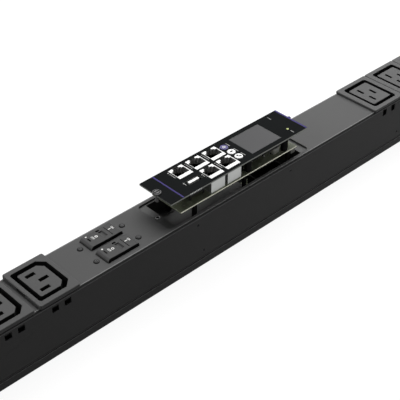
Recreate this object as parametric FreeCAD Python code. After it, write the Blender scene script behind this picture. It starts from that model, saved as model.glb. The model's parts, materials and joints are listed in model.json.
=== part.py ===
import FreeCAD, Part
import math
import os
from types import SimpleNamespace

# Rack power distribution unit: a long sheet-metal case on its back, with two rows of outlets, two
# breakers and a controller module that lifts out of its bay.
# Millimetres. X runs along the case from the cable gland, Y across it, Z up from its back.

Vec = FreeCAD.Vector

# Case: a folded cover over a folded tray
sheet = 1.5
case_height = 47.3
bend_radius = 1.8
tray_bend = 1.2
seam_height = 7.5
seam_edge = 0.5
seam_gap = 0.3
tongue_height = 10.0
tongue_gap = 0.1
inlet_room = 46.0
plain_room = 18.5
metering_room = 76.3
breaker_room_left = 18.0
breaker_room_right = 16.5

# End caps, their tabs and screws
cap_thickness = 2.0
tab_height = 9.5
tab_width = 8.0
cap_screw_inset = 6.0
cap_screw_radius = 1.45
cap_head_radius = 2.8
cap_head_depth = 1.5
cap_screw_length = 7.0
cap_hole_gap = 0.2
socket_radius = 1.1
socket_depth = 1.0
thread_gap = 0.05

# Flush blind rivets along the seam and at the bay
rivet_radius = 1.1
rivet_bore = 0.5
rivet_first = 147.0
rivet_pitch = 224.0
rivet_count = 3
rivet_above_seam = 6.8
bay_rivet_spacing = 96.0
bay_rivet_drop = 7.3

# Clinch nuts in the back
nut_spacing = 500.0
nut_shank_radius = 4.0
nut_body_radius = 5.0
nut_thread_radius = 2.5
nut_height = 5.0

# Cable gland
gland_thread_radius = 12.5
gland_hex = 29.0
gland_hex_length = 6.0
gland_collar_radius = 11.0
gland_collar_length = 10.0
gland_bore_radius = 8.2
gland_seal_wall = 3.0
gland_seal_length = 8.0
gland_nut_hex = 27.0
gland_nut_gap = 0.2
gland_nut_length = 17.4
gland_nut_lip = 6.0
gland_lip_bore = 7.5
gland_nut_round = 3.0
gland_skirt_gap = 0.6
locknut_thickness = 4.0
gland_thread_spare = 3.0

# What both kinds of outlet share
outlet_side_room = 1.2
outlet_fit = 0.3
flange_overhang = 0.1
flange_corner = 1.5
flange_edge = 0.4
recess_depth = 17.0
core_sink = 0.3
core_corner = 1.2
latch_fit = 0.35
latch_reach = 0.9
latch_slope = 1.6
contact_leaf = 0.5
contact_fit = 0.2
contact_sink = 6.0

# C13 outlets
c13_count = 6
c13_gap = 4.0
c13_raise = 2.8
c13_core_x = 19.4
c13_core_y = 26.8
c13_ring_x = 3.3
c13_ring_y = 3.5
c13_wall = 1.4
c13_rim = 1.85
c13_recess_chamfer = 5.2
c13_core_chamfer = 3.9
c13_recess_corner = 1.6
c13_pole_spacing = 16.4
c13_pole_x = -2.7
c13_earth_x = 2.1
c13_slot_x = 7.2
c13_slot_y = 2.9
c13_latch_spacing = 10.0
c13_latch_drop = 5.8
c13_latch_x = 5.2
c13_latch_z = 4.7

# C19 outlets
c19_count = 4
c19_gap = 0.3
c19_raise = 2.0
c19_core_x = 21.4
c19_core_y = 26.8
c19_ring_x = 2.6
c19_ring_y = 3.5
c19_wall = 1.4
c19_rim = 3.6
c19_recess_corner = 2.4
c19_pole_spacing = 12.6
c19_pole_x = -4.0
c19_earth_x = 4.0
c19_slot_x = 2.1
c19_slot_y = 7.0
c19_latch_spacing = 10.8
c19_latch_drop = 4.9
c19_latch_x = 4.4
c19_latch_z = 5.8

# Bars under the outlets
bar_thickness = 1.5
bar_width = 5.0
bar_spacing = 14.0
feed_offset = 13.5
feed_width = 3.6
bar_overrun = 10.0
bar_split = 8.0

# Terminal block and current sensors
block_setback = 16.0
block_length = 26.0
block_width = 34.0
block_wire_radius = 2.6
block_wire_depth = 14.0
sensor_length = 10.0
sensor_width = 8.4
sensor_height = 12.0
sensor_fit = 0.3

# Breakers
rocker_length = 26.8
rocker_width = 13.0
rocker_gap_x = 0.6
rocker_gap_y = 0.35
rocker_left_height = 2.7
rocker_right_height = 2.4
rocker_round = 2.2
rocker_line_x = 6.2
rocker_line_width = 0.4
rocker_line_depth = 0.4
rocker_dip_x = 1.5
rocker_dip_width = 6.4
rocker_dip_radius = 2.4
rocker_dip_depth = 0.9
rocker_notch_place = 0.5
rocker_notch_edge = 1.0
rocker_notch_x = 2.8
rocker_notch_y = 1.4
rocker_notch_depth = 2.0
rocker_edge = 0.4
rocker_sink = 7.0
rocker_pivot_sink = 3.6
rocker_pocket_room = 4.0
trunnion_radius = 1.4
trunnion_reach = 1.0
trunnion_fit = 0.06
trunnion_end_gap = 0.15
breaker_wall = 1.6
breaker_gap = 0.6
breaker_screw_spacing = 36.8
breaker_boss = 4.6
breaker_screw_radius = 1.2
breaker_head_radius = 2.15
breaker_head_height = 0.9
breaker_head_round = 0.5
breaker_slot_width = 0.6
breaker_slot_depth = 0.5
breaker_screw_length = 9.0
breaker_pilot_gap = 0.05

# Controller module, with X counted from the left end of its face plate
lift = 20.0
seat_gap = 0.3
plate_width = 33.3
plate_thickness = 1.2
plate_gap_x = 2.3
plate_gap_y = 0.5
plate_corner = 0.8
bay_corner = 3.0
plate_right_room = 12.6
tab_bump_radius = 1.6
tab_bump_y = 2.4
tab_bump_sink = 0.2
board_drop = 13.0
board_thickness = 1.2
board_width = 30.6
board_left_inset = 10.3
board_right_inset = 9.2
board_clear_y = 0.6
opening_left_reach = 5.3
board_clear_right = 4.2

# RJ45 jacks: three in the far row, two in the near row
jack_first_x = 31.1
jack_pitch = 16.4
jack_row_spacing = 14.7
jack_body_x = 13.6
jack_body_y = 13.8
jack_face = 12.8
jack_face_fit = 0.1
jack_mouth_x = 11.3
jack_mouth_y = 6.4
jack_near_band = 3.3
jack_step_x = 7.2
jack_step_y = 1.4
jack_key_x = 4.2
jack_key_y = 1.7
jack_floor = 2.5

# USB port
usb_y = -6.5
usb_body_x = 14.0
usb_body_y = 6.6
usb_mouth_x = 12.4
usb_mouth_y = 4.8
usb_floor = 0.6
usb_leg = 1.0
usb_leg_height = 3.0
usb_tongue_x = 9.4
usb_tongue_y = 2.4
usb_tongue_sink = 0.3
usb_tongue_y_shift = 0.6

# Push buttons and their switches
button_radius = 3.15
button_gap_x = 0.7
button_spacing = 7.6
button_fit = 0.3
button_proud = 0.4
button_edge = 0.25
button_skirt = 1.2
button_stem_radius = 1.6
button_travel = 0.5
switch_size = 5.2
switch_height = 4.0
switch_plunger_radius = 1.7
switch_plunger_height = 1.5

# Display
display_gap_x = 6.3
display_length = 30.7
display_width = 24.8
display_fit = 0.15
window_thickness = 0.8
window_sink = 0.1
panel_rim = 1.2
panel_thickness = 4.0

# Status light pipe
light_gap_x = 11.7
light_y = -7.8
light_radius = 1.0
light_fit = 0.1
light_proud = 0.2

# Standoffs, guide legs, captive screw, plug and small board parts
standoff_flat = 5.0
standoff_edge = 0.4
standoff_gap = 0.4
leg_x = 3.0
leg_y = 2.4
leg_edge = 0.5
leg_inset_left = 14.4
leg_inset_right = 8.3
leg_pitch = 50.1
leg_floor_gap = 4.0
leg_fit = 0.3
screw_x = 1.9
screw_radius = 1.2
screw_slot_gap = 0.6
screw_head_radius = 3.2
screw_head_height = 1.3
screw_head_edge = 0.3
screw_drive_width = 0.9
screw_drive_depth = 0.7
screw_length = 6.0
plug_length = 26.0
plug_width = 7.0
plug_height = 7.0
plug_right_inset = 3.3
socket_wall = 1.6
socket_fit = 0.4
socket_floor = 2.0
socket_height = 8.0
relay_x = 6.0
relay_y = 5.0
relay_z = 4.6
relay_from_display_end = 3.9
relay_from_edge = 6.2
header_x = 4.4
header_y = 4.0
header_z = 5.4
header_inset = 0.1
header_from_edge = 3.8

# Bay frame, liner, threaded insert and backplane
frame_sheet = 1.2
frame_gap = 0.1
frame_lap = 4.2
frame_skirt = 12.0
liner_gap = 0.2
liner_wall = 1.5
liner_left_step = 0.9
liner_right_room = 1.3
liner_floor = 1.2
sleeve_wall = 1.2
bar_drop = 1.1
insert_radius = 2.3
insert_body_radius = 2.0
insert_length = 4.0
insert_bore_gap = 0.3
backplane_thickness = 1.6
backplane_gap = 1.4
backplane_end_gap = 2.0
pit_room = 12.0
shelf_gap = 1.2

# Widths that follow from what the case holds
c13_body_x = c13_core_x + 2 * (c13_ring_x + c13_wall)
c13_body_y = c13_core_y + 2 * (c13_ring_y + c13_wall)
c19_body_x = c19_core_x + 2 * (c19_ring_x + c19_wall)
c19_body_y = c19_core_y + 2 * (c19_ring_y + c19_wall)
breaker_width = rocker_width + 2 * (rocker_gap_y + breaker_wall)
breaker_pitch = breaker_width + breaker_gap
bay_side = frame_gap + frame_sheet + liner_gap + liner_wall
opening_width = board_width + 2 * board_clear_y
recess_width = plate_width + 2 * plate_gap_y
inner_width = max(
    c13_body_y + 2 * outlet_side_room,
    c19_body_y + 2 * outlet_side_room,
    2 * breaker_width + breaker_gap + 2 * outlet_side_room,
    opening_width + 2 * bay_side,
    recess_width + 2 * sheet,
)
inner_half = inner_width / 2
case_half = inner_half + sheet
flange_width = 2 * (case_half + flange_overhang)

# Places along the module
jack_columns = [jack_first_x + jack_pitch * i for i in range(3)]
button_x = jack_columns[-1] + jack_body_x / 2 + button_gap_x + button_radius
display_x0 = button_x + button_radius + display_gap_x
display_x1 = display_x0 + display_length
light_x = display_x1 + light_gap_x
plate_length = light_x + plate_right_room
bay_length = plate_length + 2 * plate_gap_x

# Places along the case
c13_flange_x = c13_body_x + 2 * c13_rim
c19_flange_x = c19_body_x + 2 * c19_rim
c13_pitch = c13_flange_x + c13_gap
c19_pitch = c19_flange_x + c19_gap
breaker_length = breaker_screw_spacing + 2 * breaker_boss
c13_bank = c13_pitch * (c13_count - 1) + c13_flange_x
c19_bank = c19_pitch * (c19_count - 1) + c19_flange_x
cover_length = (
    inlet_room + c13_bank + breaker_room_left + breaker_length + breaker_room_right
    + bay_length + metering_room + c19_bank + plain_room
)
gland_reach = gland_skirt_gap + gland_hex_length + gland_nut_length
total_length = gland_reach + cover_length + 2 * cap_thickness
x_cover0 = -total_length / 2 + gland_reach + cap_thickness
x_cover1 = x_cover0 + cover_length
c13_places = [x_cover0 + inlet_room + c13_flange_x / 2 + c13_pitch * i for i in range(c13_count)]
x_breaker = c13_places[-1] + c13_flange_x / 2 + breaker_room_left + breaker_length / 2
x_bay0 = x_breaker + breaker_length / 2 + breaker_room_right
x_bay1 = x_bay0 + bay_length
x_bay = (x_bay0 + x_bay1) / 2
x_plate0 = x_bay0 + plate_gap_x
x_plate1 = x_plate0 + plate_length
c19_first = x_bay1 + metering_room + c19_flange_x / 2
c19_places = [c19_first + c19_pitch * i for i in range(c19_count)]
breaker_places = [breaker_pitch / 2, -breaker_pitch / 2]
x_board0 = x_plate0 + board_left_inset
x_board1 = x_plate1 - board_right_inset
x_open0 = x_board0 - opening_left_reach
x_open1 = x_board1 + board_clear_right

# Heights
z_top = case_height
z_under = z_top - sheet
z_ledge = z_under
z_plate1 = z_top + lift
z_plate0 = z_plate1 - plate_thickness
z_board1 = z_plate1 - board_drop
z_board0 = z_board1 - board_thickness
seat_travel = z_plate0 - (z_ledge + seat_gap)
z_board_seated = z_board0 - seat_travel
z_backplane1 = z_board_seated - plug_height - socket_fit - socket_floor
z_backplane0 = z_backplane1 - backplane_thickness
z_liner0 = z_backplane0 - liner_floor
z_bar1 = z_liner0 - bar_drop
z_bar0 = z_bar1 - bar_thickness
z_gland = case_height / 2

# Guide legs and standoffs share these places
leg_x0 = x_board0 + leg_inset_left
leg_x1 = x_board1 - leg_inset_right
leg_places = [leg_x0, leg_x0 + leg_pitch, leg_x1]
leg_row = board_width / 2 - leg_edge - leg_y / 2
standoff_row = board_width / 2 - standoff_edge - standoff_flat / math.sqrt(3)
panel_x0 = x_plate0 + display_x0 - panel_rim
panel_x1 = x_plate0 + display_x1 + panel_rim
standoff_reach = standoff_gap + standoff_flat / 2
standoff_places = [
    (x_board0 + standoff_edge + standoff_flat, standoff_row),
    (panel_x0 - standoff_reach, standoff_row),
    (panel_x0 - standoff_reach, -standoff_row),
    (panel_x1 + standoff_reach, standoff_row),
    (panel_x1 + standoff_reach, -standoff_row),
]

# The two outlet forms
c13 = SimpleNamespace(
    core_x=c13_core_x, core_y=c13_core_y, ring_x=c13_ring_x, ring_y=c13_ring_y,
    body_x=c13_body_x, body_y=c13_body_y, flange_x=c13_flange_x, raise_z=c13_raise,
    recess_chamfer=c13_recess_chamfer, core_chamfer=c13_core_chamfer, corner=c13_recess_corner,
    pole_spacing=c13_pole_spacing, pole_x=c13_pole_x, earth_x=c13_earth_x,
    slot_x=c13_slot_x, slot_y=c13_slot_y,
    latch_spacing=c13_latch_spacing, latch_x=c13_latch_x, latch_z=c13_latch_z,
    latch_drop=c13_latch_drop,
    along_x=True, places=c13_places,
)
c19 = SimpleNamespace(
    core_x=c19_core_x, core_y=c19_core_y, ring_x=c19_ring_x, ring_y=c19_ring_y,
    body_x=c19_body_x, body_y=c19_body_y, flange_x=c19_flange_x, raise_z=c19_raise,
    recess_chamfer=0, core_chamfer=0, corner=c19_recess_corner,
    pole_spacing=c19_pole_spacing, pole_x=c19_pole_x, earth_x=c19_earth_x,
    slot_x=c19_slot_x, slot_y=c19_slot_y,
    latch_spacing=c19_latch_spacing, latch_x=c19_latch_x, latch_z=c19_latch_z,
    latch_drop=c19_latch_drop,
    along_x=False, places=c19_places,
)
outlet_forms = [c13, c19]


def box(x0, x1, y0, y1, z0, z1):
    return Part.makeBox(x1 - x0, y1 - y0, z1 - z0, Vec(x0, y0, z0))


def block(x, y, size_x, size_y, z0, z1):
    return box(x - size_x / 2, x + size_x / 2, y - size_y / 2, y + size_y / 2, z0, z1)


def rod(x, y, z0, z1, radius):
    return Part.makeCylinder(radius, z1 - z0, Vec(x, y, z0), Vec(0, 0, 1))


def rod_x(x0, x1, y, z, radius):
    return Part.makeCylinder(radius, x1 - x0, Vec(x0, y, z), Vec(1, 0, 0))


def rod_y(x, y0, y1, z, radius):
    return Part.makeCylinder(radius, y1 - y0, Vec(x, y0, z), Vec(0, 1, 0))


def to_space(plane, a, b):
    if plane == "xy":
        return Vec(a, b, 0)
    if plane == "yz":
        return Vec(0, a, b)
    return Vec(a, 0, b)


def outline(plane, corners):
    """A closed wire through (a, b, radius) corners, with an arc at each corner that has a radius."""
    points = [to_space(plane, a, b) for a, b, radius in corners]
    stretches = []
    for i, point in enumerate(points):
        radius = corners[i][2]
        before = (points[i - 1] - point).normalize()
        after = (points[(i + 1) % len(points)] - point).normalize()
        if radius <= 0:
            stretches.append((point, None, point))
            continue
        half_angle = before.getAngle(after) / 2
        reach = radius / math.tan(half_angle)
        bisector = (before + after).normalize()
        middle = point + bisector * (radius / math.sin(half_angle) - radius)
        stretches.append((point + before * reach, middle, point + after * reach))
    edges = []
    for i, (start, middle, end) in enumerate(stretches):
        if middle is not None:
            edges.append(Part.Arc(start, middle, end).toShape())
        next_start = stretches[(i + 1) % len(stretches)][0]
        edges.append(Part.LineSegment(end, next_start).toShape())
    return Part.Wire(edges)


def prism(plane, corners, start, length):
    normal = {"xy": Vec(0, 0, 1), "yz": Vec(1, 0, 0), "xz": Vec(0, 1, 0)}[plane]
    solid = Part.Face(outline(plane, corners)).extrude(normal * length)
    solid.translate(normal * start)
    return solid


def rounded_block(x, y, size_x, size_y, z0, z1, radius):
    half_x = size_x / 2
    half_y = size_y / 2
    corners = [
        (x - half_x, y - half_y, radius),
        (x + half_x, y - half_y, radius),
        (x + half_x, y + half_y, radius),
        (x - half_x, y + half_y, radius),
    ]
    return prism("xy", corners, z0, z1 - z0)


def hexagon_x(x0, x1, y, z, across_flats):
    radius = across_flats / math.sqrt(3)
    corners = []
    for i in range(6):
        angle = math.radians(60 * i)
        corners.append((y + radius * math.cos(angle), z + radius * math.sin(angle), 0))
    return prism("yz", corners, x0, x1 - x0)


def soften_top(solid, z, size):
    """Chamfers the edges that lie in the flat top at height z."""
    rim = []
    for edge in solid.Edges:
        if all(abs(vertex.Z - z) < 1e-6 for vertex in edge.Vertexes):
            rim.append(edge)
    return solid.makeChamfer(size, rim)


def save(name, pieces):
    """Writes one node; a list of solids becomes one group."""
    shape = Part.makeCompound(pieces) if isinstance(pieces, list) else pieces
    shape.exportStep(os.path.join("parts", name + ".step"))


def cap_screw_points():
    across = inner_half - cap_screw_inset
    return [(y, z) for y in (-across, across) for z in (cap_screw_inset, z_top - cap_screw_inset)]


def rivet_points():
    """Places of the flush rivets on one side: along the seam, and two at the bay frame."""
    z_seam_rivet = seam_height + rivet_above_seam
    seam = [(x_cover0 + rivet_first + rivet_pitch * i, z_seam_rivet) for i in range(rivet_count)]
    z_bay_rivet = z_top - bay_rivet_drop
    bay = [(x_bay + step * bay_rivet_spacing / 2, z_bay_rivet) for step in (-1, 1)]
    return seam + bay


def latch_points(form, x):
    return [x - form.latch_spacing / 2, x + form.latch_spacing / 2]


def screw_points():
    return [
        (x_breaker + step * breaker_screw_spacing / 2, y)
        for step in (-1, 1)
        for y in breaker_places
    ]


def end_tabs(z0, z1):
    """Tabs folded in at both ends, which the end cap screws bite into."""
    across = inner_half - cap_screw_inset
    tabs = []
    for x in (x_cover0 + sheet / 2, x_cover1 - sheet / 2):
        for y in (-across, across):
            tabs.append(block(x, y, sheet, tab_width, z0, z1))
    return tabs


def cap_screw_holes(radius):
    reach = cap_screw_length
    return [
        rod_x(x - reach, x + reach, y, z, radius)
        for x in (x_cover0, x_cover1)
        for y, z in cap_screw_points()
    ]


def cover_channel():
    z_edge = seam_height + seam_gap
    inner_bend = max(bend_radius - sheet, sheet / 10)
    corners = [
        (-case_half, z_edge, 0),
        (-case_half, z_top, bend_radius),
        (case_half, z_top, bend_radius),
        (case_half, z_edge, 0),
        (inner_half, z_edge, 0),
        (inner_half, z_under, inner_bend),
        (-inner_half, z_under, inner_bend),
        (-inner_half, z_edge, 0),
    ]
    channel = prism("yz", corners, x_cover0, cover_length)
    channel = channel.multiFuse(end_tabs(z_top - tab_height, z_under))
    cuts = cap_screw_holes(cap_screw_radius + thread_gap)
    z_cut0 = z_under - sheet
    z_cut1 = z_top + sheet
    for form in outlet_forms:
        z_latch = z_top - form.latch_drop
        for x in form.places:
            hole_x = form.body_x + 2 * outlet_fit
            hole_y = form.body_y + 2 * outlet_fit
            cuts.append(block(x, 0, hole_x, hole_y, z_cut0, z_cut1))
            for latch in latch_points(form, x):
                z0 = z_latch - form.latch_z / 2
                z1 = z_latch + form.latch_z / 2
                cuts.append(block(latch, 0, form.latch_x, 3 * case_half, z0, z1))
    for y in breaker_places:
        window_x = rocker_length + 2 * rocker_gap_x
        window_y = rocker_width + 2 * rocker_gap_y
        cuts.append(block(x_breaker, y, window_x, window_y, z_cut0, z_cut1))
    for x, y in screw_points():
        cuts.append(rod(x, y, z_cut0, z_cut1, breaker_screw_radius + breaker_pilot_gap))
    cuts.append(rounded_block(x_bay, 0, bay_length, recess_width, z_cut0, z_cut1, bay_corner))
    for x, z in rivet_points():
        cuts.append(rod_y(x, -2 * case_half, 2 * case_half, z, rivet_radius))
    return channel.cut(cuts)


def base_tray():
    tongue_out = inner_half - tongue_gap
    tongue_in = tongue_out - sheet
    z_tongue = seam_height + tongue_height
    z_step = seam_height - sheet
    right = [
        (case_half, 0, tray_bend),
        (case_half, seam_height - seam_edge, 0),
        (case_half - seam_edge, seam_height, 0),
        (tongue_out, seam_height, 0),
        (tongue_out, z_tongue, 0),
        (tongue_in, z_tongue, 0),
        (tongue_in, z_step, 0),
        (inner_half, z_step, 0),
        (inner_half, sheet, 0),
    ]
    left = [(-y, z, radius) for y, z, radius in reversed(right)]
    tray = prism("yz", right + left, x_cover0, cover_length)
    tray = tray.multiFuse(end_tabs(sheet, tab_height))
    cuts = cap_screw_holes(cap_screw_radius + thread_gap)
    for x in (-nut_spacing / 2, nut_spacing / 2):
        cuts.append(rod(x, 0, -sheet, 2 * sheet, nut_shank_radius))
    for x, z in rivet_points():
        if z < z_tongue:
            cuts.append(rod_y(x, -2 * case_half, 2 * case_half, z, rivet_radius))
    return tray.cut(cuts)


def end_cap(x_out, x_in, has_gland):
    x0 = min(x_out, x_in)
    corners = [
        (-case_half, 0, tray_bend),
        (case_half, 0, tray_bend),
        (case_half, z_top, bend_radius),
        (-case_half, z_top, bend_radius),
    ]
    cap = prism("yz", corners, x0, cap_thickness)
    inward = Vec(x_in - x_out, 0, 0).normalize()
    cuts = []
    for y, z in cap_screw_points():
        start = Vec(x_out, y, z)
        cuts.append(Part.makeCylinder(cap_screw_radius + cap_hole_gap, cap_thickness, start, inward))
        cuts.append(countersink(start, inward))
    if has_gland:
        hole = gland_thread_radius + cap_hole_gap
        cuts.append(rod_x(x0 - cap_thickness, x0 + 2 * cap_thickness, 0, z_gland, hole))
    return cap.cut(cuts)


def countersink(start, inward):
    return Part.makeCone(cap_head_radius, cap_screw_radius, cap_head_depth, start, inward)


def end_cap_screws():
    screws = []
    for x_out, x_in in ((x_cover0 - cap_thickness, x_cover0), (x_cover1 + cap_thickness, x_cover1)):
        inward = Vec(x_in - x_out, 0, 0).normalize()
        for y, z in cap_screw_points():
            start = Vec(x_out, y, z)
            shank = Part.makeCylinder(cap_screw_radius, cap_screw_length, start, inward)
            screw = shank.fuse(countersink(start, inward))
            drive = Part.makeCylinder(socket_radius, socket_depth, start, inward)
            screws.append(screw.cut(drive))
    return screws


def case_rivets():
    rivets = []
    z_tongue = seam_height + tongue_height
    for x, z in rivet_points():
        grip = sheet + tongue_gap + sheet if z < z_tongue else sheet + frame_gap + frame_sheet
        for side in (-1, 1):
            outer = side * case_half
            inner = side * (case_half - grip)
            y0 = min(outer, inner)
            y1 = max(outer, inner)
            rivets.append(rod_y(x, y0, y1, z, rivet_radius).cut(rod_y(x, y0, y1, z, rivet_bore)))
    return rivets


def mounting_nuts():
    nuts = []
    for x in (-nut_spacing / 2, nut_spacing / 2):
        z1 = sheet + nut_height
        nut = rod(x, 0, 0, sheet, nut_shank_radius).fuse(rod(x, 0, sheet, z1, nut_body_radius))
        nuts.append(nut.cut(rod(x, 0, 0, z1, nut_thread_radius)).removeSplitter())
    return nuts


def gland_pieces():
    """The gland's body, locknut, seal and cap nut, from the inlet cap outwards."""
    x_face = x_cover0 - cap_thickness
    x_hex = x_face - gland_hex_length
    x_collar = x_hex - gland_collar_length
    x_thread = x_cover0 + locknut_thickness + gland_thread_spare
    x_nut = x_hex - gland_skirt_gap
    x_tip = x_nut - gland_nut_length
    x_lip = x_tip + gland_nut_lip
    body = hexagon_x(x_hex, x_face, 0, z_gland, gland_hex)
    body = body.fuse(rod_x(x_collar, x_hex, 0, z_gland, gland_collar_radius))
    body = body.fuse(rod_x(x_face, x_thread, 0, z_gland, gland_thread_radius))
    body = body.cut(rod_x(x_collar, x_thread, 0, z_gland, gland_bore_radius))
    locknut = hexagon_x(x_cover0, x_cover0 + locknut_thickness, 0, z_gland, gland_hex)
    thread_hole = gland_thread_radius + thread_gap
    locknut = locknut.cut(rod_x(x_cover0, x_cover0 + locknut_thickness, 0, z_gland, thread_hole))
    seal_in = gland_bore_radius - gland_seal_wall / 2
    seal = rod_x(x_lip, x_lip + gland_seal_length, 0, z_gland, gland_bore_radius)
    seal = seal.cut(rod_x(x_lip, x_lip + gland_seal_length, 0, z_gland, seal_in))
    nut_radius = gland_nut_hex / math.sqrt(3)
    dome = rod_x(x_tip, x_nut, 0, z_gland, nut_radius)
    tip = [edge for edge in dome.Edges if abs(edge.BoundBox.XMax - x_tip) < 1e-6]
    dome = dome.makeFillet(gland_nut_round, tip)
    cap_nut = dome.common(hexagon_x(x_tip, x_nut, 0, z_gland, gland_nut_hex))
    cap_nut = cap_nut.cut(rod_x(x_lip, x_nut, 0, z_gland, gland_collar_radius + gland_nut_gap))
    cap_nut = cap_nut.cut(rod_x(x_tip, x_lip, 0, z_gland, gland_lip_bore))
    return body, locknut, seal, cap_nut


def outlet_outline(half_x, half_y, chamfer, corner):
    """The mouth of an outlet: rounded, or with its two corners on the earth side cut off."""
    if chamfer <= 0:
        return [
            (-half_x, -half_y, corner),
            (half_x, -half_y, corner),
            (half_x, half_y, corner),
            (-half_x, half_y, corner),
        ]
    return [
        (-half_x, -half_y, corner),
        (half_x - chamfer, -half_y, corner / 2),
        (half_x, chamfer - half_y, corner / 2),
        (half_x, half_y - chamfer, corner / 2),
        (half_x - chamfer, half_y, corner / 2),
        (-half_x, half_y, corner),
    ]


def pole_points(form):
    """Line, neutral and earth slots of an outlet, counted from its centre."""
    half = form.pole_spacing / 2
    return {"line": (form.pole_x, -half), "neutral": (form.pole_x, half), "earth": (form.earth_x, 0)}


def latch_catches(form, x):
    """The sloping catches that snap into a hole in each side of the cover."""
    half_y = form.body_y / 2
    reach = inner_half + latch_reach
    half_z = form.latch_z / 2 - latch_fit
    z0 = z_top - form.latch_drop - half_z
    z1 = z_top - form.latch_drop + half_z
    wedge = [
        (half_y, z0, 0),
        (reach, z0, 0),
        (reach, z1 - latch_slope, 0),
        (half_y, z1, 0),
    ]
    size_x = form.latch_x - 2 * latch_fit
    catch = prism("yz", wedge, x - size_x / 2, size_x)
    return [catch, catch.mirror(Vec(0, 0, 0), Vec(0, 1, 0))]


def outlet(form, x):
    z_face = z_top + form.raise_z
    z_floor = z_face - recess_depth
    flange = rounded_block(0, 0, form.flange_x, flange_width, z_top, z_face, flange_corner)
    flange = soften_top(flange, z_face, flange_edge)
    housing = flange.fuse(block(0, 0, form.body_x, form.body_y, z_bar1, z_top))
    half_x = form.core_x / 2
    half_y = form.core_y / 2
    mouth = outlet_outline(half_x + form.ring_x, half_y + form.ring_y, form.recess_chamfer, form.corner)
    core = outlet_outline(half_x, half_y, form.core_chamfer, core_corner)
    housing = housing.cut(prism("xy", mouth, z_floor, recess_depth))
    housing = housing.fuse(prism("xy", core, z_floor, recess_depth - core_sink))
    catches = []
    for latch in latch_points(form, 0):
        catches.extend(latch_catches(form, latch))
    housing = housing.multiFuse(catches)
    slots = []
    for pole_x, pole_y in pole_points(form).values():
        slots.append(block(pole_x, pole_y, form.slot_x, form.slot_y, z_bar1, z_face))
    housing = housing.cut(slots).removeSplitter()
    housing.translate(Vec(x, 0, 0))
    return housing


def fork(form, x, y):
    """A folded contact: two leaves in an outlet's slot, standing on their bar."""
    z1 = z_top + form.raise_z - contact_sink
    size_x = form.slot_x - 2 * contact_fit
    size_y = form.slot_y - 2 * contact_fit
    leaves = block(x, y, size_x, size_y, z_bar1, z1)
    if form.along_x:
        gap = block(x, y, 2 * size_x, size_y - 2 * contact_leaf, z_bar1, z1)
    else:
        gap = block(x, y, size_x - 2 * contact_leaf, 2 * size_y, z_bar1, z1)
    return leaves.cut(gap)


def contact_bar(pole, x0, x1, forms):
    y = {"line": -bar_spacing / 2, "neutral": bar_spacing / 2, "earth": 0}[pole]
    bar = box(x0, x1, y - bar_width / 2, y + bar_width / 2, z_bar0, z_bar1)
    forks = []
    for form in forms:
        pole_x, pole_y = pole_points(form)[pole]
        for x in form.places:
            forks.extend(fork(form, x + pole_x, pole_y).Solids)
    return bar.multiFuse(bar_pads(forks, y) + forks).removeSplitter()


def bar_pads(forks, y):
    """Widens the bar under a fork that stands out past its edge."""
    pads = []
    for leaf in forks:
        room = leaf.BoundBox
        if room.YMin < y - bar_width / 2 or room.YMax > y + bar_width / 2:
            pads.append(box(room.XMin, room.XMax, room.YMin, room.YMax, z_bar0, z_bar1))
    return pads


def line_feed_bar(x0, x1):
    half = feed_width / 2
    return box(x0, x1, -feed_offset - half, half - feed_offset, z_bar0, z_bar1)


def terminal_block(x0):
    body = box(x0, x0 + block_length, -block_width / 2, block_width / 2, sheet, z_bar0)
    z = (sheet + z_bar0) / 2
    holes = []
    for y in (-bar_spacing / 2, 0, bar_spacing / 2):
        holes.append(rod_x(x0, x0 + block_wire_depth, y, z, block_wire_radius))
    return body.cut(holes)


def current_sensor(x):
    """A sensor ring that hangs on the line bar."""
    y = -bar_spacing / 2
    window_z0 = z_bar0 - 2 * sensor_fit
    half_z = sensor_height / 2
    z = (window_z0 + z_bar1) / 2
    ring = block(x, y, sensor_length, sensor_width, z - half_z, z + half_z)
    return ring.cut(block(x, y, 2 * sensor_length, bar_width + 2 * sensor_fit, window_z0, z_bar1))


def breaker_body(y):
    body = block(x_breaker, y, breaker_length, breaker_width, z_bar1, z_under)
    pocket_x = rocker_length + 2 * rocker_gap_x
    pocket_y = rocker_width + 2 * rocker_gap_y
    z_pocket = z_top - rocker_sink - rocker_pocket_room
    cuts = [block(x_breaker, y, pocket_x, pocket_y, z_pocket, z_under)]
    bearing = rocker_width / 2 + trunnion_reach + trunnion_end_gap
    z_pivot = z_top - rocker_pivot_sink
    cuts.append(rod_y(x_breaker, y - bearing, y + bearing, z_pivot, trunnion_radius + trunnion_fit))
    for step in (-1, 1):
        x = x_breaker + step * breaker_screw_spacing / 2
        pilot = breaker_screw_radius + breaker_pilot_gap
        cuts.append(rod(x, y, z_under - breaker_screw_length, z_under, pilot))
    return body.cut(cuts)


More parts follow.
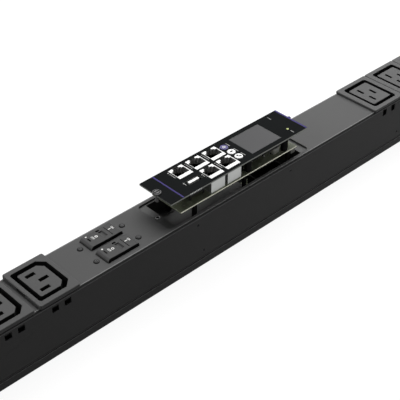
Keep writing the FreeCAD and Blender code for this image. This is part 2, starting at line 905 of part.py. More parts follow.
def breaker_rocker(y):
    """A lid with a rounded left end, a finger dip, a notch by its far edge and a line on its right."""
    half_x = rocker_length / 2
    half_y = rocker_width / 2
    z_low = z_top - rocker_sink
    z_high = z_top + rocker_left_height
    side = [
        (-half_x, z_low, rocker_round),
        (half_x, z_low, rocker_round),
        (half_x, z_top + rocker_right_height, rocker_round / 2),
        (-half_x, z_high, rocker_round),
    ]
    section = [
        (-half_y, z_low, 0),
        (half_y, z_low, 0),
        (half_y, z_high, rocker_edge),
        (-half_y, z_high, rocker_edge),
    ]
    rocker = prism("xz", side, -half_y, rocker_width)
    rocker = rocker.common(prism("yz", section, -half_x, rocker_length))
    reach = half_y + trunnion_reach
    rocker = rocker.fuse(rod_y(0, -reach, reach, z_top - rocker_pivot_sink, trunnion_radius))
    z_face = z_top + (rocker_left_height + rocker_right_height) / 2
    z_line = z_top + rocker_right_height - rocker_line_depth
    line_y = rocker_width - 2 * rocker_notch_y
    notch_y = half_y - rocker_notch_edge - rocker_notch_y / 2
    z_notch = z_face - rocker_notch_depth
    z_dip = z_face - rocker_dip_depth + rocker_dip_radius
    rocker = rocker.cut([
        block(rocker_line_x, 0, rocker_line_width, line_y, z_line, z_high),
        block(rocker_notch_place, notch_y, rocker_notch_x, rocker_notch_y, z_notch, z_high),
        rod_y(rocker_dip_x, -rocker_dip_width / 2, rocker_dip_width / 2, z_dip, rocker_dip_radius),
    ])
    rocker = rocker.removeSplitter()
    rocker.translate(Vec(x_breaker, y, 0))
    return rocker


def breaker_screws():
    screws = []
    z_head = z_top + breaker_head_height
    for x, y in screw_points():
        head = rod(x, y, z_top, z_head, breaker_head_radius)
        rim = [e for e in head.Edges if abs(e.BoundBox.ZMin - z_head) < 1e-6]
        head = head.makeFillet(breaker_head_round, rim)
        screw = head.fuse(rod(x, y, z_under - breaker_screw_length, z_top, breaker_screw_radius))
        slot_length = 3 * breaker_head_radius
        slot = block(x, y, slot_length, breaker_slot_width, z_head - breaker_slot_depth, z_head)
        screws.append(screw.cut(slot).removeSplitter())
    return screws


def bay_frame():
    """The sunk ledge round the bay, with skirts riveted to the cover's sides."""
    half = inner_half - frame_gap
    z0 = z_ledge - frame_sheet
    z_skirt = z_ledge - frame_skirt
    x0 = x_bay0 - frame_lap
    x1 = x_bay1 + frame_lap
    corners = [
        (-half, z_skirt, 0),
        (-half, z_ledge, sheet / 2),
        (half, z_ledge, sheet / 2),
        (half, z_skirt, 0),
        (half - frame_sheet, z_skirt, 0),
        (half - frame_sheet, z0, 0),
        (frame_sheet - half, z0, 0),
        (frame_sheet - half, z_skirt, 0),
    ]
    frame = prism("yz", corners, x0, x1 - x0)
    cuts = [box(x_open0, x_open1, -opening_width / 2, opening_width / 2, z0 - sheet, z_top)]
    cuts.append(rod(x_plate0 + screw_x, 0, z0 - sheet, z_top, insert_radius))
    for x, z in rivet_points():
        if z > z_skirt:
            cuts.append(rod_y(x, -2 * case_half, 2 * case_half, z, rivet_radius))
    return frame.cut(cuts)


def bay_liner():
    """A tub under the bay's opening: a shelf, a pit for the socket and a sleeve for each guide leg."""
    z1 = z_ledge - frame_sheet
    z_shelf = z_board_seated - shelf_gap
    x0 = x_open0 + liner_left_step
    x1 = x_open1 + liner_right_room
    x_pit = pit_start()
    half = inner_half - frame_gap - frame_sheet - liner_gap
    inside = half - liner_wall
    tub = box(x0 - liner_wall, x1 + liner_wall, -half, half, z_shelf - liner_floor, z1)
    tub = tub.fuse(box(x_pit - liner_wall, x1 + liner_wall, -half, half, z_liner0, z1))
    tub = tub.cut([
        box(x0, x1, -inside, inside, z_shelf, z1),
        box(x_pit, x1, -inside, inside, z_backplane0, z1),
    ])
    hole_x = leg_x + 2 * leg_fit
    hole_y = leg_y + 2 * leg_fit
    z_low = sheet + leg_floor_gap - leg_fit
    z_high = z_board_seated - 2 * leg_fit
    sleeves = []
    holes = []
    for x in leg_places:
        for y in (-leg_row, leg_row):
            sleeves.append(block(x, y, hole_x + 2 * sleeve_wall, hole_y + 2 * sleeve_wall, z_low, z_high))
            holes.append(block(x, y, hole_x, hole_y, z_low, z_high))
    return tub.multiFuse(sleeves).cut(holes).removeSplitter()


def bay_insert():
    x = x_plate0 + screw_x
    z0 = z_ledge - insert_length
    ring = rod(x, 0, z_ledge - frame_sheet, z_ledge, insert_radius)
    insert = ring.fuse(rod(x, 0, z0, z_ledge, insert_body_radius))
    return insert.cut(rod(x, 0, z0, z_top, screw_radius + insert_bore_gap)).removeSplitter()


def plug_place():
    return x_board1 - plug_right_inset - plug_length / 2


def pit_start():
    return plug_place() - plug_length / 2 - socket_fit - socket_wall - pit_room


def backplane_pieces():
    x0 = pit_start() + backplane_end_gap
    x1 = x_open1 + liner_right_room - backplane_end_gap
    half = leg_row - leg_y / 2 - leg_fit - sleeve_wall - backplane_gap
    board = box(x0, x1, -half, half, z_backplane0, z_backplane1)
    x = plug_place()
    size_x = plug_length + 2 * (socket_fit + socket_wall)
    size_y = plug_width + 2 * (socket_fit + socket_wall)
    socket = block(x, 0, size_x, size_y, z_backplane1, z_backplane1 + socket_height)
    cavity_x = plug_length + 2 * socket_fit
    cavity_y = plug_width + 2 * socket_fit
    z_floor = z_backplane1 + socket_floor
    socket = socket.cut(block(x, 0, cavity_x, cavity_y, z_floor, z_backplane1 + socket_height))
    return board, socket


def jack_places():
    """Far row of three, then the near row of two."""
    far = [(x_plate0 + x, jack_row_spacing / 2) for x in jack_columns]
    near = [(x_plate0 + x, -jack_row_spacing / 2) for x in jack_columns[1:]]
    return far + near


def button_places():
    return [(x_plate0 + button_x, button_spacing * row) for row in (1, 0, -1)]


def usb_place():
    return x_plate0 + jack_first_x, usb_y


def face_plate():
    x = (x_plate0 + x_plate1) / 2
    plate = rounded_block(x, 0, plate_length, plate_width, z_plate0, z_plate1, plate_corner)
    bump = rod(x_plate1 - tab_bump_sink, tab_bump_y, z_plate0, z_plate1, tab_bump_radius)
    plate = plate.fuse(bump)
    low = z_plate0 - plate_thickness
    high = z_plate1 + plate_thickness
    cuts = []
    for jack_x, jack_y in jack_places():
        size = jack_face + 2 * jack_face_fit
        cuts.append(block(jack_x, jack_y, size, size, low, high))
    usb_x_place, usb_y_place = usb_place()
    cuts.append(block(usb_x_place, usb_y_place, usb_mouth_x, usb_mouth_y, low, high))
    for button_x_place, button_y_place in button_places():
        cuts.append(rod(button_x_place, button_y_place, low, high, button_radius + button_fit))
    display_middle = x_plate0 + (display_x0 + display_x1) / 2
    cuts.append(block(display_middle, 0, display_length, display_width, low, high))
    cuts.append(rod(x_plate0 + light_x, light_y, low, high, light_radius + light_fit))
    slot = screw_radius + screw_slot_gap
    cuts.append(rod(x_plate0 + screw_x, 0, low, high, slot))
    cuts.append(box(x_plate0 - slot, x_plate0 + screw_x, -slot, slot, low, high))
    return plate.cut(cuts).removeSplitter()


def display_pieces():
    middle = x_plate0 + (display_x0 + display_x1) / 2
    size_x = display_length - 2 * display_fit
    size_y = display_width - 2 * display_fit
    z1 = z_plate1 - window_sink
    window = block(middle, 0, size_x, size_y, z1 - window_thickness, z1)
    panel_x = display_length + 2 * panel_rim
    panel_y = display_width + 2 * panel_rim
    panel = block(middle, 0, panel_x, panel_y, z_plate0 - panel_thickness, z_plate0)
    seat = block(middle, 0, size_x, size_y, z_plate0, z1 - window_thickness)
    return window, panel.fuse(seat).removeSplitter()


def push_button(x, y):
    z_cap = z_plate1 + button_proud
    z_skirt = z_plate0 - button_skirt
    cap = soften_top(rod(x, y, z_skirt, z_cap, button_radius), z_cap, button_edge)
    z_plunger = z_board1 + switch_height + switch_plunger_height
    z_stem = z_plunger + button_travel + button_fit
    return cap.fuse(rod(x, y, z_stem, z_skirt, button_stem_radius)).removeSplitter()


def button_switches():
    switches = []
    for x, y in button_places():
        z1 = z_board1 + switch_height
        body = block(x, y, switch_size, switch_size, z_board1, z1)
        plunger = rod(x, y, z1, z1 + switch_plunger_height, switch_plunger_radius)
        switches.append(body.fuse(plunger).removeSplitter())
    return switches


def rj45_jack(x, y):
    body = block(x, y, jack_body_x, jack_body_y, z_board1, z_plate0)
    jack = body.fuse(block(x, y, jack_face, jack_face, z_plate0, z_plate1))
    z_mouth = z_board1 + jack_floor
    y0 = y - jack_face / 2 + jack_near_band
    y1 = y0 + jack_mouth_y
    y2 = y1 + jack_step_y
    y3 = y2 + jack_key_y
    mouth = [
        box(x - jack_mouth_x / 2, x + jack_mouth_x / 2, y0, y1, z_mouth, z_plate1),
        box(x - jack_step_x / 2, x + jack_step_x / 2, y1, y2, z_mouth, z_plate1),
        box(x - jack_key_x / 2, x + jack_key_x / 2, y2, y3, z_mouth, z_plate1),
    ]
    return jack.cut(mouth).removeSplitter()


def usb_port(x, y):
    z_shell = z_board1 + usb_leg_height
    z_floor = z_shell + usb_floor
    shell = block(x, y, usb_body_x, usb_body_y, z_shell, z_plate0)
    shell = shell.cut(block(x, y, usb_mouth_x, usb_mouth_y, z_floor, z_plate0))
    tongue_y = y + usb_tongue_y_shift
    pieces = [block(x, tongue_y, usb_tongue_x, usb_tongue_y, z_floor, z_plate1 - usb_tongue_sink)]
    for step_x in (-1, 1):
        for step_y in (-1, 1):
            leg_at_x = x + step_x * (usb_body_x - usb_leg) / 2
            leg_at_y = y + step_y * (usb_body_y - usb_leg) / 2
            pieces.append(block(leg_at_x, leg_at_y, usb_leg, usb_leg, z_board1, z_shell))
    return shell.multiFuse(pieces).removeSplitter()


def light_pipe():
    z1 = z_plate1 + light_proud
    pipe = rod(x_plate0 + light_x, light_y, z_board1, z1, light_radius)
    return soften_top(pipe, z1, light_proud)


def board_standoffs():
    standoffs = []
    radius = standoff_flat / math.sqrt(3)
    for x, y in standoff_places:
        corners = []
        for i in range(6):
            angle = math.radians(60 * i + 30)
            corners.append((x + radius * math.cos(angle), y + radius * math.sin(angle), 0))
        standoffs.append(prism("xy", corners, z_board1, z_plate0 - z_board1))
    return standoffs


def guide_legs():
    z_tip = sheet + leg_floor_gap + seat_travel
    legs = []
    for x in leg_places:
        for y in (-leg_row, leg_row):
            legs.append(block(x, y, leg_x, leg_y, z_tip, z_board0))
    return legs


def captive_screw():
    x = x_plate0 + screw_x
    z_head = z_plate1 + screw_head_height
    head = soften_top(rod(x, 0, z_plate1, z_head, screw_head_radius), z_head, screw_head_edge)
    shank = rod(x, 0, z_plate0 - screw_length, z_plate1, screw_radius)
    drive = block(x, 0, 3 * screw_head_radius, screw_drive_width, z_head - screw_drive_depth, z_head)
    return head.fuse(shank).cut(drive).removeSplitter()


def small_board_parts():
    near_edge = -board_width / 2
    relay_place = x_plate0 + display_x1 - relay_from_display_end
    relay_row = near_edge + relay_from_edge
    relay = block(relay_place, relay_row, relay_x, relay_y, z_board1, z_board1 + relay_z)
    header_place = x_board1 - header_inset - header_x / 2
    header_row = near_edge + header_from_edge
    header = block(header_place, header_row, header_x, header_y, z_board0 - header_z, z_board0)
    return [relay, header]


def main():
    os.makedirs("parts", exist_ok=True)
    save("cover_channel", cover_channel())
    save("base_tray", base_tray())
    save("end_cap_inlet", end_cap(x_cover0 - cap_thickness, x_cover0, True))
    save("end_cap_plain", end_cap(x_cover1 + cap_thickness, x_cover1, False))
    save("end_cap_screws", end_cap_screws())
    save("case_rivets", case_rivets())
    save("mounting_nuts", mounting_nuts())
    for name, piece in zip(("gland_body", "gland_locknut", "gland_seal", "gland_cap_nut"), gland_pieces()):
        save(name, piece)
    for i, x in enumerate(c13_places):
        save("c13_outlet_%d" % (i + 1), outlet(c13, x))
    for i, x in enumerate(c19_places):
        save("c19_outlet_%d" % (i + 1), outlet(c19, x))
    x_block = x_cover0 + block_setback
    x_last = c19_places[-1] + bar_overrun
    save("terminal_block", terminal_block(x_block))
    save("neutral_bar", contact_bar("neutral", x_block, x_last, outlet_forms))
    save("earth_bar", contact_bar("earth", x_block, x_last, outlet_forms))
    first = c13_places[0] - bar_overrun
    save("line_bar_c13", contact_bar("line", first, x_breaker - bar_split / 2, [c13]))
    save("line_bar_c19", contact_bar("line", x_breaker + bar_split / 2, x_last, [c19]))
    save("line_feed_bar", line_feed_bar(x_block, x_breaker))
    save("current_sensor_1", current_sensor((c13_places[-1] + x_breaker) / 2))
    save("current_sensor_2", current_sensor((x_bay1 + c19_places[0]) / 2))
    for i, y in enumerate(breaker_places):
        save("breaker_body_%d" % (i + 1), breaker_body(y))
        save("breaker_rocker_%d" % (i + 1), breaker_rocker(y))
    save("breaker_screws", breaker_screws())
    save("bay_frame", bay_frame())
    save("bay_liner", bay_liner())
    save("bay_insert", bay_insert())
    board, socket = backplane_pieces()
    save("backplane_board", board)
    save("backplane_socket", socket)
    save("face_plate", face_plate())
    window, panel = display_pieces()
    save("display_window", window)
    save("display_panel", panel)
    for i, (x, y) in enumerate(button_places()):
        save("button_%d" % (i + 1), push_button(x, y))
    save("button_switches", button_switches())
    for i, (x, y) in enumerate(jack_places()):
        save("rj45_jack_%d" % (i + 1), rj45_jack(x, y))
    save("usb_port", usb_port(*usb_place()))
    save("light_pipe", light_pipe())
    save("main_board", box(x_board0, x_board1, -board_width / 2, board_width / 2, z_board0, z_board1))
    save("board_standoffs", board_standoffs())
    save("guide_legs", guide_legs())
    save("captive_screw", captive_screw())
    plug = block(plug_place(), 0, plug_length, plug_width, z_board0 - plug_height, z_board0)
    save("board_plug", plug)
    save("board_parts", small_board_parts())


main()
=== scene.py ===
"""Looks of a rack power unit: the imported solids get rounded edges, finishes, prints and small parts."""

import json
import math

import bmesh
import bpy
from bpy.props import FloatProperty, FloatVectorProperty, IntProperty, PointerProperty
from mathutils import Matrix, Vector

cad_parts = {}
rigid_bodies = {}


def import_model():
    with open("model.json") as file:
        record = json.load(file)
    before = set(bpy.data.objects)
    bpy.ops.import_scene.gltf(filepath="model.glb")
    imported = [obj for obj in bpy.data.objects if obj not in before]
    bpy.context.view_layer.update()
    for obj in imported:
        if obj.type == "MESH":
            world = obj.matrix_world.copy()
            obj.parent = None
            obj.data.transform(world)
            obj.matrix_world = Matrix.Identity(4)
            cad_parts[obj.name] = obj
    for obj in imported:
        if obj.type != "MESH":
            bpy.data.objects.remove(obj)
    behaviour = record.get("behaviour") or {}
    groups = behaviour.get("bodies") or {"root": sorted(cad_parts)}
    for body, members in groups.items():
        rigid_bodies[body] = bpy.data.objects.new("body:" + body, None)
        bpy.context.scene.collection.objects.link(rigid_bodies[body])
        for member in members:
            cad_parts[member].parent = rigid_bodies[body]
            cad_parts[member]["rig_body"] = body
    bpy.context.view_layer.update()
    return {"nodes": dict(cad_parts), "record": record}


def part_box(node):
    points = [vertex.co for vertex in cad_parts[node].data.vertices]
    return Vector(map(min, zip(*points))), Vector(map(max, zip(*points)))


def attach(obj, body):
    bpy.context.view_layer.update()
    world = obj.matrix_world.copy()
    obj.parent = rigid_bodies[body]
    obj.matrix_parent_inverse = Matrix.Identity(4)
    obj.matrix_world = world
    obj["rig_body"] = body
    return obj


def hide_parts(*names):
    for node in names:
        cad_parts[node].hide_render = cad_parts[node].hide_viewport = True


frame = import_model()

bl_info = {
    "name": "Rack power unit looks",
    "version": (1, 0, 0),
    "blender": (4, 5, 0),
    "location": "View3D > Sidebar > Power unit",
    "description": "Dresses the packed solids of a rack power unit",
    "category": "Object",
}

MM = 0.001
MERGE_REACH = 1e-6
FLAT_ANGLE = math.radians(0.4)
SHARP_ANGLE = math.radians(33)
ROUND_STEPS = 28
AIM = "aim"
UP = Vector((0, 0, 1))
NODE_SLOTS = {part["node"]: part["material_slot"] for part in frame["record"]["subparts"]}
# Height of a breaker screw's domed head above its seat.
SLOTTED_HEIGHT = 0.9 * MM
# Half length, half width and height of the slit under an outlet's flange.
SLIT_REACH = Vector((1.2 * MM, 4.5 * MM, 1.9 * MM))
# The tick's corners, in millimetres from the middle of its key.
TICK = [(-0.3, 1.9), (-1.5, 0.8), (1.1, -1.9), (1.9, -1.1), (-0.2, 0.6), (0.5, 1.3)]
# Materials made so far, by the function that makes each.
finishes = {}


def grey(level):
    return (level, level, level)


def colour_setting(name, description, default):
    return FloatVectorProperty(
        name=name, description=description, subtype="COLOR", size=3, min=0.0, max=1.0, default=default
    )


def size_setting(name, description, default):
    return FloatProperty(
        name=name, description=description, subtype="DISTANCE", unit="LENGTH", min=0.0, precision=5,
        default=default,
    )


def angle_setting(name, description, degrees):
    return FloatProperty(
        name=name, description=description, subtype="ANGLE", unit="ROTATION", default=math.radians(degrees)
    )


def power_setting(name, description, default):
    return FloatProperty(name=name, description=description, unit="POWER", min=0.0, default=default)


class FinishSettings(bpy.types.PropertyGroup):
    """Colours of the finishes."""

    case_paint: colour_setting("Case paint", "Powder coat of the case", grey(0.086))
    # A darker copy of the case coat: painted shade inside the bay.
    bay_paint: colour_setting("Bay paint", "Coat of the sunk bay frame", (0.045, 0.046, 0.045))
    outlet_plastic: colour_setting("Outlets", "Moulding of the outlets", grey(0.071))
    # A darker copy of the outlet moulding: painted shade inside the outlets' mouths.
    outlet_recess: colour_setting("Outlet recess", "Moulding inside the outlets", grey(0.02))
    breaker_plastic: colour_setting("Breakers", "Moulding of the breakers", grey(0.041))
    black_plastic: colour_setting("Black mouldings", "Small black mouldings", grey(0.008))
    overlay: colour_setting("Overlay", "Film on the module's face plate", (0.0125, 0.0135, 0.0138))
    violet: colour_setting("Violet", "Stripes and first key", (0.046, 0.035, 0.158))
    ink: colour_setting("Ink", "White print", (0.85, 0.85, 0.83))
    board_mask: colour_setting("Board", "Solder mask of the boards", (0.285, 0.312, 0.218))
    board_edge: colour_setting("Board edge", "Cut edge of the boards", (0.86, 0.86, 0.73))
    screen: colour_setting("Screen", "Grey of the resting screen", (0.076, 0.076, 0.078))
    tin: colour_setting("Tin", "Plated shells of the jacks", (0.43, 0.44, 0.43))


class EdgeSettings(bpy.types.PropertyGroup):
    """Rounding of the edges."""

    sheet: size_setting("Sheet", "Painted edges of cut sheet", 0.2 * MM)
    cap: size_setting("End caps", "Edges of the end caps", 0.35 * MM)
    moulding: size_setting("Mouldings", "Edges of the outlets and rockers", 0.22 * MM)
    plate: size_setting("Face plate", "Edges of the face plate", 0.15 * MM)
    shell: size_setting("Shells", "Folds of the jack and port shells", 0.16 * MM)
    board: size_setting("Board", "Chamfer round the module's board", 0.4 * MM)
    small: size_setting("Small parts", "Edges of keys and small parts", 0.1 * MM)


class DetailSettings(bpy.types.PropertyGroup):
    """Sizes and numbers of the small parts."""

    contacts: IntProperty(name="Contacts", description="Contact wires in a jack", default=8, min=1)
    contact_pitch: size_setting("Contact pitch", "Step from one contact wire to the next", 1.02 * MM)
    contact_wire: size_setting("Contact wire", "Radius of a contact wire", 0.2 * MM)
    ribs: IntProperty(name="Ribs", description="Grip ribs round the captive screw", default=30, min=3)
    thread_pitch: size_setting("Thread pitch", "Pitch of the captive screw's thread", 0.5 * MM)
    chip_gap: size_setting("Chip gap", "Least step between two chip parts", 5.5 * MM)
    seed: IntProperty(name="Seed", description="Start of every random draw", default=7, min=0)
    print_depth: size_setting("Print", "Thickness of the printed ink", 0.03 * MM)


class StageSettings(bpy.types.PropertyGroup):
    """Camera, lamps and floor."""

    azimuth: angle_setting("Azimuth", "Turn of the camera", -43.6)
    elevation: angle_setting("Elevation", "Height of the camera's view", 37.37)
    distance: size_setting("Distance", "From the camera to the point that it looks at", 747.9 * MM)
    target: FloatVectorProperty(
        name="Target", description="Point that the camera looks at", subtype="TRANSLATION",
        unit="LENGTH", size=3, default=(28.4 * MM, -7.2 * MM, 47.3 * MM),
    )
    lens: FloatProperty(
        name="Lens", description="Focal length", unit="CAMERA", default=94.05, min=1.0
    )
    key_power: power_setting("Key", "Softbox overhead", 22.6)
    fill_power: power_setting("Fill", "Lower softbox at the right end", 8.0)
    left_power: power_setting("Left", "Lower softbox at the left end", 1.4)
    ambient: FloatProperty(
        name="Ambient", description="Light from all round", subtype="FACTOR", default=0.09, min=0.0
    )


class Link:
    """A socket's output that takes part in Python sums and products, each of which adds a Math node."""

    def __init__(self, graph, socket):
        self.graph = graph
        self.socket = socket

    def step(self, operation, first, second):
        return self.graph.node("ShaderNodeMath", {"operation": operation}, {0: first, 1: second})

    def __add__(self, other):
        return self.step("ADD", self, other)

    def __radd__(self, other):
        return self.step("ADD", other, self)

    def __sub__(self, other):
        return self.step("SUBTRACT", self, other)

    def __rsub__(self, other):
        return self.step("SUBTRACT", other, self)

    def __mul__(self, other):
        return self.step("MULTIPLY", self, other)

    def __rmul__(self, other):
        return self.step("MULTIPLY", other, self)

    def __truediv__(self, other):
        return self.step("DIVIDE", self, other)

    def __rtruediv__(self, other):
        return self.step("DIVIDE", other, self)

    def above(self, limit):
        return self.step("GREATER_THAN", self, limit)

    def size(self):
        return self.step("ABSOLUTE", self, 0.0)

    def eased(self, low, high):
        """From 0 below low to 1 above high, with a smooth run between."""
        values = {"Value": self, "From Min": low, "From Max": high}
        return self.graph.node("ShaderNodeMapRange", {"interpolation_type": "SMOOTHSTEP"}, values)

    def band(self, low, high, blur):
        """1 from low to high with soft edges, all in millimetres."""
        return self.eased(low * MM, (low + blur) * MM) - self.eased(high * MM, (high + blur) * MM)


class Graph:
    """Adds nodes to one node tree."""

    def __init__(self, tree):
        self.tree = tree

    def node(self, kind, settings=None, inputs=None, output=0):
        """A new node with its settings made and its sockets fed; gives one of its outputs."""
        node = self.tree.nodes.new(kind)
        for name, value in (settings or {}).items():
            setattr(node, name, value)
        for key, value in (inputs or {}).items():
            self.feed(node.inputs[key], value)
        return None if output is None else Link(self, node.outputs[output])

    def feed(self, socket, value):
        if isinstance(value, Link):
            self.tree.links.new(value.socket, socket)
        elif socket.type == "RGBA":
            socket.default_value = (*value[:3], 1.0)
        else:
            socket.default_value = value


class Finish(Graph):
    """A material under construction round its Principled shader."""

    def __init__(self, name):
        self.material = bpy.data.materials.new(name)
        self.material.use_nodes = True
        super().__init__(self.material.node_tree)
        self.shader = self.tree.nodes["Principled BSDF"]
        self.place = self.node("ShaderNodeTexCoord", output="Object")

    def noise(self, size, detail=2.0, stretch=(1.0, 1.0, 1.0)):
        """Blotches about size across, drawn out along an axis by a stretch above 1."""
        squeeze = [1.0 / part for part in stretch]
        place = self.node("ShaderNodeMapping", None, {"Vector": self.place, "Scale": squeeze})
        values = {"Vector": place, "Scale": 1.0 / size, "Detail": detail}
        return self.node("ShaderNodeTexNoise", None, values)

    def axis(self, name):
        return self.node("ShaderNodeSeparateXYZ", None, {"Vector": self.place}, name)

    def tint(self, colour, shade):
        values = {"Vector": tuple(colour), "Scale": shade}
        return self.node("ShaderNodeVectorMath", {"operation": "SCALE"}, values)

    def mix(self, share, first, second):
        return self.node("ShaderNodeMix", {"data_type": "RGBA"}, {0: share, 6: first, 7: second}, 2)

    def bump(self, height, depth, strength=1.0):
        values = {"Height": height, "Distance": depth, "Strength": strength}
        return self.node("ShaderNodeBump", None, values, "Normal")

    def surface(self, values):
        for name, value in values.items():
            self.feed(self.shader.inputs[name], value)
        return self.material


def case_paint(colours):
    """Fine satin powder coat: a shallow orange peel and a faint speckle, with painted highlights and
    painted shade lines along the bends, at the seam and on the bay's end wall.
    """
    finish = Finish("case_paint")
    peel = finish.noise(0.9 * MM, 3.0)
    speckle = finish.noise(0.22 * MM, 1.0)
    cloud = finish.noise(38 * MM)
    along = finish.axis("X")
    across = finish.axis("Y").size()
    height = finish.axis("Z")
    # Painted highlight on the top bend, with a painted shade line just outside it.
    painted_bend_highlight = across.band(19.25, 19.7, 0.1)
    painted_bend_shade = across.band(19.85, 20.7, 0.1)
    side = across.eased(20.85 * MM, 20.95 * MM)
    # Painted highlight lines on the side, below the top bend and at the seam, with a painted shade line
    # over the groove above the seam.
    painted_shoulder_highlight = height.band(45.1, 45.9, 0.2)
    lip = height.band(6.4, 7.4, 0.1)
    groove = height.eased(8.2 * MM, 8.4 * MM) - height.eased(9.4 * MM, 9.7 * MM)
    bay_end = along.band(133.2, 133.6, 0.2)
    inside = 1.0 - across.eased(17.2 * MM, 17.4 * MM)
    below_top = 1.0 - height.eased(46.9 * MM, 47.1 * MM)
    # Painted light on the bay's end wall, which faces away from the lamps.
    painted_end_wall_light = bay_end * inside * below_top
    on_side = side * (1.5 * painted_shoulder_highlight + 1.8 * lip - 0.5 * groove)
    painted_fold_light = 1.7 * painted_bend_highlight - 0.75 * painted_bend_shade + on_side + 2.2 * painted_end_wall_light
    shade = 0.9 + 0.12 * cloud + 0.1 * speckle + painted_fold_light
    return finish.surface({
        "Base Color": finish.tint(colours.case_paint, shade),
        "Roughness": 0.4 + 0.14 * peel,
        "Specular IOR Level": 0.06,
        "Normal": finish.bump(peel + 0.35 * speckle, 0.02 * MM, 0.7),
    })


def bay_paint(colours):
    """A darker copy of the case coat, as painted shade inside the bay, a little blotchy."""
    finish = Finish("bay_paint")
    peel = finish.noise(0.8 * MM, 3.0)
    cloud = finish.noise(22 * MM)
    return finish.surface({
        "Base Color": finish.tint(colours.bay_paint, 0.88 + 0.24 * cloud),
        "Roughness": 0.44 + 0.12 * peel,
        "Specular IOR Level": 0.25,
        "Normal": finish.bump(peel, 0.02 * MM, 0.6),
    })


def moulding(name, colour, roughness, specular, wear_and_painted_light=None):
    """Spark-eroded moulded plastic, with a fine even grain and slight flow marks."""
    finish = Finish(name)
    grain = finish.noise(0.16 * MM, 2.0)
    flow = finish.noise(9 * MM, 3.0, (1.0, 3.0, 1.0))
    shade = 0.9 + 0.1 * flow + 0.1 * grain
    # Painted light, added to the shade where a maker for it is given.
    if wear_and_painted_light:
        shade = shade + wear_and_painted_light(finish)
    return finish.surface({
        "Base Color": finish.tint(colour, shade),
        "Roughness": roughness + 0.12 * flow - 0.06 * grain,
        "Specular IOR Level": specular,
        "Normal": finish.bump(grain, 0.012 * MM, 0.6),
    })


def outlet_plastic(colours):
    return moulding("outlet_plastic", colours.outlet_plastic, 0.46, 0.12)


# A lighter copy of the outlet moulding: painted light on the faces that look left, away from the lamps.
def outlet_edge(colours):
    return moulding("outlet_edge", [2.0 * part for part in colours.outlet_plastic], 0.46, 0.12)


# Painted shade: the outlet moulding made darker for the faces inside the mouths.
def outlet_recess(colours):
    return moulding("outlet_recess", colours.outlet_recess, 0.5, 0.04)


def breaker_plastic(colours):
    return moulding("breaker_plastic", colours.breaker_plastic, 0.42, 0.15, rubbed_end)


def rubbed_end(finish):
    """Painted light: paler over the rounded end of the rockers, which faces away from the lamps."""
    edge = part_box("breaker_rocker_1")[0].x
    along = finish.axis("X")
    tip = 1.0 - along.eased(edge, edge + 0.9 * MM)
    bend = 1.0 - along.eased(edge + 0.3 * MM, edge + 2.4 * MM)
    return 1.7 * tip + 1.5 * bend


# Near black, as painted shade in the slits and latch holes and on the outlets' faces inside the case.
def latch_plastic(colours):
    return moulding("latch_plastic", grey(0.002), 0.6, 0.0)


def jack_lining(colours):
    return moulding("jack_lining", grey(0.28), 0.5, 0.1)


def black_plastic(colours):
    return moulding("black_plastic", colours.black_plastic, 0.5, 0.03)


def gland_rubber(colours):
    """Soft black rubber with a dull bloom and fine pores."""
    finish = Finish("gland_rubber")
    bloom = finish.noise(4 * MM, 4.0)
    pores = finish.noise(0.3 * MM, 2.0)
    return finish.surface({
        "Base Color": finish.tint(grey(0.016), 0.8 + 0.5 * bloom),
        "Roughness": 0.7 + 0.2 * bloom,
        "Specular IOR Level": 0.25,
        "Normal": finish.bump(pores, 0.02 * MM, 0.5),
    })


def overlay_film(colours):
    """Printed polyester film with a fine matt emboss."""
    finish = Finish("overlay_film")
    emboss = finish.noise(0.25 * MM, 2.0)
    cloud = finish.noise(25 * MM)
    return finish.surface({
        "Base Color": finish.tint(colours.overlay, 0.85 + 0.3 * cloud),
        "Roughness": 0.52 + 0.1 * emboss,
        "Specular IOR Level": 0.0,
        "Normal": finish.bump(emboss, 0.01 * MM, 0.5),
    })


def bare_metal(name, colour, roughness, stretch):
    """Plain or plated metal with fine draw lines and a few dull patches."""
    finish = Finish(name)
    lines = finish.noise(0.12 * MM, 3.0, stretch)
    patches = finish.noise(6 * MM, 3.0)
    return finish.surface({
        "Base Color": finish.tint(colour, 0.86 + 0.16 * patches + 0.08 * lines),
        "Metallic": 1.0,
        "Roughness": roughness + 0.14 * patches + 0.08 * lines,
        "Normal": finish.bump(lines, 0.006 * MM, 0.5),
    })


def plate_metal(colours):
    return bare_metal("plate_metal", (0.13, 0.135, 0.125), 0.4, (14.0, 14.0, 1.0))


def bright_steel(colours):
    return bare_metal("bright_steel", grey(0.52), 0.28, (1.0, 1.0, 6.0))


def polished_steel(colours):
    return bare_metal("polished_steel", grey(0.4), 0.1, (2.0, 2.0, 2.0))


def screw_steel(colours):
    return bare_metal("screw_steel", grey(0.08), 0.4, (3.0, 3.0, 3.0))


def dark_steel(colours):
    return bare_metal("dark_steel", (0.012, 0.012, 0.013), 0.4, (2.0, 2.0, 2.0))


def jack_tin(colours):
    return bare_metal("jack_tin", colours.tin, 0.34, (1.0, 1.0, 16.0))


def port_steel(colours):
    return bare_metal("port_steel", grey(0.04), 0.4, (1.0, 1.0, 10.0))


def contact_brass(colours):
    return bare_metal("contact_brass", (0.66, 0.47, 0.2), 0.32, (20.0, 1.0, 1.0))


def contact_gold(colours):
    return bare_metal("contact_gold", (0.26, 0.23, 0.17), 0.36, (1.0, 1.0, 8.0))


def jack_face(colours):
    """The white frame moulded round a jack's mouth."""
    finish = Finish("jack_face")
    grain = finish.noise(0.2 * MM, 2.0)
    flow = finish.noise(5 * MM, 2.0)
    return finish.surface({
        "Base Color": finish.tint((0.94, 0.94, 0.93), 0.96 + 0.05 * flow),
        "Roughness": 0.4 + 0.1 * grain,
        "Specular IOR Level": 0.4,
        "Normal": finish.bump(grain, 0.008 * MM, 0.5),
    })


